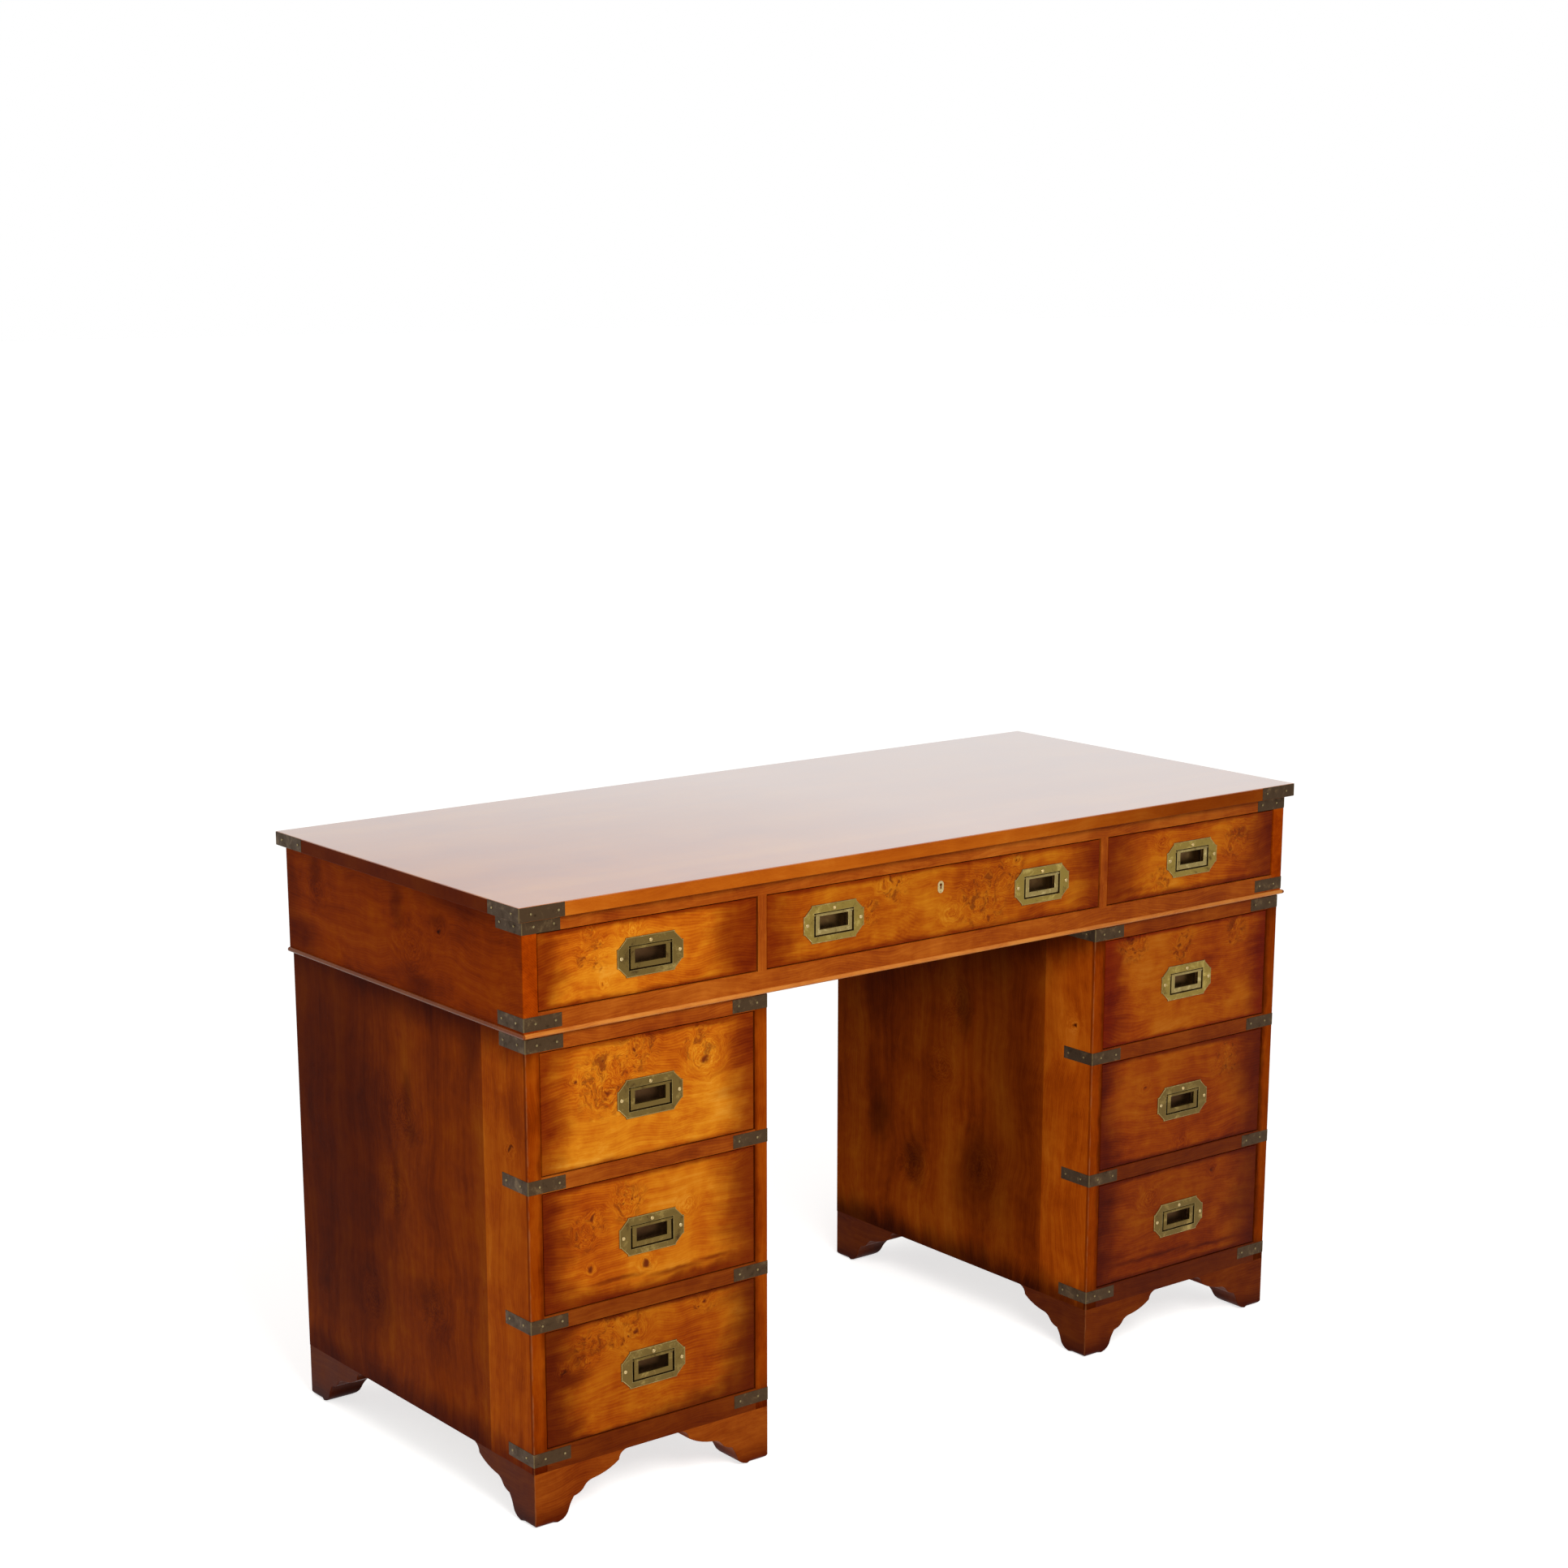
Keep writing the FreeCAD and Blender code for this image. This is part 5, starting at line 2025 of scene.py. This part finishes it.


# Washes and shifts are partly tone, partly painted shade: lower and right fronts are darker.
FRONTS = {
    "frieze_left": Front(
        (44, 96, 8, 8),
        figure=((-540, 725, 16, 9, 2.5), (-520, 660, 14, 8, 2.5), (-480, 716, 26, 12, 0)),
        burrs=((-535, 700, 34),), shades=((-330, 690, 40, 60),), shift=0.04, seed=1,
    ),
    "frieze_centre": Front(
        (66, 66, 10, 8),
        figure=((130, 725, 16, 9, 2.5), (-95, 720, 22, 14, 3), (20, 668, 30, 14, 0)),
        burrs=((70, 682, 56), (-75, 722, 34), (-120, 690, 26), (120, 712, 34)),
        deep="#b88a70", wash="#e6e2da", seed=2,
    ),
    "frieze_right": Front(
        (84, 86, 10, 8),
        figure=((530, 690, 18, 9, 3), (398, 712, 24, 12, 0)),
        burrs=((540, 700, 36), (395, 665, 26)), shades=((325, 655, 70, 7),),
        wash="#ece0d2", seed=3,
    ),
    "left_upper": Front(
        (58, 66, 8, 10),
        figure=(
            (-372, 545, 44, 34, 6), (-515, 525, 40, 26, 3), (-525, 568, 18, 8, 3),
            (-478, 575, 16, 8, 3), (-455, 570, 14, 7, 2.5), (-560, 545, 16, 8, 3),
        ),
        burrs=((-518, 540, 60), (-380, 560, 34), (-470, 572, 40)),
        shades=((-330, 588, 80, 7),), shift=0.1, seed=4,
    ),
    "left_middle": Front(
        (58, 84, 8, 8),
        figure=(
            (-540, 375, 16, 8, 3), (-562, 355, 16, 8, 3), (-545, 310, 14, 8, 4),
            (-462, 302, 18, 12, 5), (-490, 385, 34, 20, 0), (-400, 362, 26, 14, 0),
        ),
        burrs=((-548, 360, 34), (-488, 385, 34)),
        shades=(
            (-505, 291, 60, 5), (-420, 285, 60, 5), (-360, 289, 40, 5),
            (-360, 262, 260, 32), (-360, 262, 220, 28), (-360, 262, 180, 24), (-560, 268, 90, 34),
        ),
        deep="#986c58", wash="#f6ece0", shift=0.06, seed=5,
    ),
    "left_lower": Front(
        (72, 72, 8, 8),
        figure=((-480, 220, 38, 26, 4), (-375, 235, 18, 8, 3), (-585, 190, 18, 8, 3)),
        burrs=((-505, 228, 50), (-548, 212, 34), (-375, 236, 24)),
        shades=(
            (-298, 86, 270, 50), (-298, 86, 240, 46), (-300, 86, 210, 44),
            (-590, 180, 60, 20), (-600, 110, 60, 40),
        ),
        deep="#8c6450", wash="#e0d0bc", shift=0.03, seed=6,
    ),
    "right_lower": Front(
        (60, 78, 10, 8),
        figure=((395, 205, 34, 14, 0), (520, 225, 18, 9, 3)),
        shades=((400, 122, 150, 5), (520, 116, 100, 5)),
        wash="#ba9a88", shift=-0.04, seed=7,
    ),
    "right_middle": Front(
        (54, 80, 8, 8),
        figure=((455, 272, 26, 14, 0), (380, 370, 18, 9, 3)),
        burrs=((540, 385, 34),), wash="#c5a38e", shift=0.04, seed=8,
    ),
    "right_upper": Front(
        (60, 46, 8, 8),
        figure=((345, 585, 28, 16, 4), (440, 565, 18, 9, 3), (550, 575, 18, 9, 3)),
        burrs=((350, 580, 38), (445, 562, 32), (550, 572, 28)),
        shades=((318, 555, 18, 26), (312, 500, 16, 60)),
        deep="#b06c50", wash="#d2b49e", shift=0.06, seed=9,
    ),
}


def foot_finish() -> Callable[[str, str], bpy.types.Material]:
    """Make the materials of the feet.

    Returns:
        A function that gives the material for a side of the desk and a kind of piece.
    """
    made: dict[tuple[str, str], bpy.types.Material] = {}
    # Right feet's fronts are darker, partly painted shade where the light falls off rightwards.
    for seed, side, front_tone_and_shade, side_wash in (
        (34, "left", "#e6d8cc", "#a58e84"), (44, "right", "#b8a298", "#a58e84"),
    ):
        # It reaches up from the floor only.
        low = Stain((0, 0, 0), PEDESTAL_LOW, (0, 0, 30), (0, 0, 0), feather=10.0)
        edges = (PEDESTAL_OUTER, PEDESTAL_INNER)
        corners = tuple((hand * x, PEDESTAL_FRONT) for hand in (-1, 1) for x in edges)
        along_x = Cut(Run.ALONG_X, seed, stain=low, wash=front_tone_and_shade, worn_and_highlit=corners)
        along_y = Cut(Run.ALONG_Y, seed + 1, stain=low, wash=side_wash, worn_and_highlit=corners)
        made[side, "front_bracket"] = YEW_FOOT.material(side + " front foot", along_x)
        made[side, "back_bracket"] = made[side, "front_bracket"]
        made[side, "side_bracket"] = YEW_FOOT.material(side + " side foot", along_y)
        made[side, "corner_block"] = DEAL.material(side + " foot block", Cut(Run.ALONG_Z, seed + 2))
    return lambda side, kind: made[side, kind]


def top_finish() -> tuple[bpy.types.Material, bpy.types.Material]:
    """Make the finishes of the top.

    Returns:
        The finish of its edges and that of its upper face.
    """
    # The ends are darkened, and the front's right-hand half a little, as painted shade where the
    # light falls off to the right.
    ends = Stain(TOP_LOW, TOP_HIGH, (6, 0, 0), (6, 0, 0), feather=0.0)
    level = (TOP_LOW[2] + TOP_HIGH[2]) / 2
    right_half_shade = Shade((560.0, TOP_LOW[1], level), (520.0, 60.0, 60.0), 0.75)
    edge = Cut(
        Run.ALONG_X, 20, stain=ends, deep="#a47e68", wash="#fffaf0", shades=(right_half_shade,)
    )
    return YEW_EDGE.material("top", edge), YEW_TOP.material("top", Cut(Run.ALONG_X, 20))


@dataclass
class FriezeCase:
    """The upper case, whose boards keep their frame's shape and get their finish here."""

    end: float = CASE_LOW[0]
    bead_end_shade: str = "#aa8c80"
    # Each as y, z, reach, lift and core.
    end_knots: tuple[tuple[float, ...], ...] = (
        (-95.0, 704.0, 30.0, 18.0, 4.0),
        (-30.0, 672.0, 60.0, 30.0, 0.0),
        (200.0, 705.0, 34.0, 20.0, 0.0),
    )
    # Each as y, z, reach along y and z, and depth. The one along the top at z 745 is painted
    # shade under the top's overhang.
    end_shades: tuple[tuple[float, ...], ...] = (
        (4.0, 724.0, 24, 46, 0.7), (-92.0, 716.0, 26, 18, 0.6), (-40.0, 628.0, 60, 30, 0.7),
        (245.0, 638.0, 70, 46, 0.8), (205.0, 728.0, 26, 36, 0.7), (-150.0, 745.0, 130, 24, 0.6),
        (276.0, 690.0, 40, 100, 0.6),
    )

    def dress(self) -> None:
        """Finish the case's boards."""
        x = self.end
        ends = Cut(
            Run.ALONG_Y,
            21,
            knots=tuple(Knot((x, y, z), *sizes) for y, z, *sizes in self.end_knots),
            shades=tuple(
                Shade((x, y, z), (60, ry, rz), depth) for y, z, ry, rz, depth in self.end_shades
            ),
            deep="#a08068",
            wash="#dcc4a4",
        )
        # The back and the floor over the kneehole are painted darker, as shade.
        back = Cut(Run.ALONG_X, 22, wash="#a88c78", shift=-0.1)
        stiles = Cross(287.0, 6.6, 688.0, 47.0, Run.ALONG_Z)
        # The bead's end runs are painted darker than its front one, as shade on the desk's ends,
        # which get less light.
        bead_end_shades = (
            Sheet(0, self.end, self.bead_end_shade, below=True),
            Sheet(0, -self.end, self.bead_end_shade),
        )
        for part, wood, label, cut in (
            ("sides", YEW_CASE, "frieze ends", ends),
            ("boards", YEW_CASE, "frieze back", back),
            ("dividers", DEAL, "frieze dividers", Cut(Run.ALONG_Y, 23)),
            ("runners", DEAL, "frieze runners", Cut(Run.ALONG_Y, 24)),
            ("front_frame", YEW_RAIL, "frieze frame", Cut(Run.ALONG_X, 25, cross=stiles)),
            ("moulding", YEW_BEAD, "bead", Cut(Run.ALONG_X, 26, sheets=bead_end_shades)),
        ):
            paint(f"frieze_{part}", wood.material(label, cut))


@dataclass
class Pedestal:
    """A pedestal, whose boards keep their frame's shape and get their finish here.

    Attributes:
        name: Its side of the desk.
        seed: Which part of the log its first board comes from.
        tint: What the colours behind the veneer's joint are multiplied by.
        deep: What the colours are multiplied by where stain or shade is full.
        rail_falloff_shade: What the rails' colours are multiplied by, a painted shade where the
        light falls off to the right.
        shades: The side board's dark places, dark figure and painted shade, as y, z, reach along
        y and z, and depth.
        knots: Its knots, as y, z, reach, lift and core.
        joint: Place of the veneer's joint, in mm along Y.
        lip: Depth at which the side boards' front edges end, in mm along Y.
        lip_tint: What those edges' colours are multiplied by.
    """

    name: str
    seed: int
    tint: str
    deep: str
    rail_falloff_shade: str
    shades: tuple[tuple[float, ...], ...]
    knots: tuple[tuple[float, ...], ...] = (
        (-237.0, 470.0, 22.0, 10.0, 4.0),
        (0.0, 455.0, 50.0, 18.0, 0.0),
        (30.0, 350.0, 44.0, 20.0, 0.0),
        (-60.0, 220.0, 50.0, 18.0, 0.0),
        (90.0, 190.0, 50.0, 18.0, 0.0),
    )
    joint: float = -178.0
    lip: float = -268.5
    lip_tint: str = "#c8b8a8"

    def stain(self, bottom_width: float, top_width: float, feather: float) -> Stain:
        """Say how the stain, or on the rails a painted shade, reaches in from the bottom and the
        top.

        Args:
            bottom_width: How far from the bottom, in mm.
            top_width: How far from the top.
            feather: How far its inner edge runs out along the grain.

        Returns:
            The stain.
        """
        # Only heights count here, and those of the two pedestals are the same.
        widths = (0, 0, bottom_width), (0, 0, top_width)
        return Stain(PEDESTAL_LOW, PEDESTAL_HIGH, *widths, feather)

    def sides(self) -> Cut:
        """Say how the side boards are cut.

        Returns:
            Their figure, stain and colours.
        """
        # The board that shows most is the left one.
        (face, _, _), _ = box_of(f"{self.name}_pedestal_sides")
        figure = [
            Shade((face, y, z), (60, ry, rz), depth) for y, z, ry, rz, depth in self.shades
        ]
        # Painted shade: the stiles are darker beside the drawers, where shade falls in the gaps.
        rail_low, rail_high = box_of("right_pedestal_rails")
        stiles = [
            Shade((hand * x, PEDESTAL_FRONT, 340.0), (8, 6, 460), 0.75)
            for hand in (-1, 1)
            for x in (rail_low[0], rail_high[0])
        ]
        edges = (PEDESTAL_INNER, PEDESTAL_OUTER)
        return Cut(
            Run.ALONG_Z,
            self.seed,
            knots=tuple(Knot((face, y, z), *sizes) for y, z, *sizes in self.knots),
            shades=(*figure, *stiles),
            stain=self.stain(50, 50, 20.0),
            sheets=(
                Sheet(1, self.joint, self.tint),
                Sheet(1, self.lip, self.lip_tint, below=True),
            ),
            deep=self.deep,
            worn_and_highlit=tuple((hand * x, PEDESTAL_FRONT) for hand in (-1, 1) for x in edges),
        )

    def dress(self) -> None:
        """Finish the pedestal's boards."""
        # Painted shade: the lower a rail, the darker it is, as the light from above falls off
        # downwards.
        rail_floor_shade = self.stain(500, 0, 0.0)
        rails = Cut(
            Run.ALONG_X, self.seed + 2, stain=rail_floor_shade, deep="#b09880", wash=self.rail_falloff_shade
        )
        for part, wood, cut in (
            ("sides", YEW_CASE, self.sides()),
            ("back", YEW_CASE, Cut(Run.ALONG_Z, self.seed + 1, shift=-0.1)),
            ("rails", YEW_RAIL, rails),
            ("boards", DEAL, Cut(Run.ALONG_Y, self.seed + 3)),
        ):
            paint(f"{self.name}_pedestal_{part}", wood.material(f"{self.name} {part}", cut))


PEDESTALS = (
    # A dark rear half, dark flames and clouds along the grain, and painted shade under the
    # frieze's bead.
    Pedestal(
        "left",
        30,
        tint="#c9bdb0",
        deep="#a48a72",
        rail_falloff_shade="#ffffff",
        shades=(
            (200, 430, 270, 400, 0.95), (-4, 480, 18, 44, 0.7), (-10, 435, 24, 30, 0.7),
            (28, 350, 12, 80, 0.8), (-152, 568, 30, 40, 0.6), (-40, 230, 60, 40, 0.5),
            (84, 190, 46, 40, 0.5), (170, 240, 50, 44, 0.5), (180, 220, 220, 200, 0.7),
            # Painted shade under the frieze's bead, along the board's top.
            (-120, 640, 150, 60, 0.5),
        ),
    ),
    # Dark burr on each side of its middle, and a painted shadow that the frieze casts across its
    # top.
    Pedestal(
        "right",
        40,
        tint="#d0cac6",
        # A deep colour dark enough for the painted shadow under the frieze.
        deep="#8a8070",
        # Its rails are painted darker, as shade where the light falls off to the right.
        rail_falloff_shade="#d8c6b6",
        shades=(
            (-115, 340, 120, 420, 0.45), (172, 248, 40, 66, 0.7), (92, 196, 34, 56, 0.7),
            (-44, 230, 52, 80, 0.6), (-12, 448, 28, 62, 0.6), (-40, 190, 90, 110, 0.45),
            # These four are the painted shadow that the frieze casts across the board's top.
            (273, 600, 300, 270, 1.0), (120, 620, 300, 210, 1.0), (-30, 620, 250, 150, 1.0),
            (-160, 620, 200, 90, 1.0),
        ),
    ),
)


def main() -> None:
    """Build and dress the desk."""
    logging.basicConfig(level=logging.INFO, format="%(message)s")
    Studio().build()
    for name, front in FRONTS.items():
        front.dress(name)
        log.info("%s front", name)
    FriezeCase().dress()
    log.info("frieze case")
    for pedestal in PEDESTALS:
        pedestal.dress()
        log.info("%s pedestal", pedestal.name)
    finishes = {
        "plate": PLATE_BRASS.material(),
        "used": USED_BRASS.material(),
        "rim": RIM_BRASS.material(),
        "strap": STRAP_BRASS.material(),
        "bend": BEND_BRASS.material(),
        "head": HEAD_BRASS.material(),
        "nail": NAIL_BRASS.material(),
        "iron": IRON.material(),
    }
    handle = RingHandle()
    handle.build()
    for bail, place in HANDLES.items():
        handle.place(bail, place, finishes)
    handle.clear()
    DeskTop().build(CornerStraps().build(finishes), *top_finish())
    BracketFoot().build(foot_finish())
    Escutcheon().build(finishes["head"])
    for name in ("lock_case", "lock_bolt"):
        paint(name, finishes["iron"])


if __name__ == "__main__":
    main()
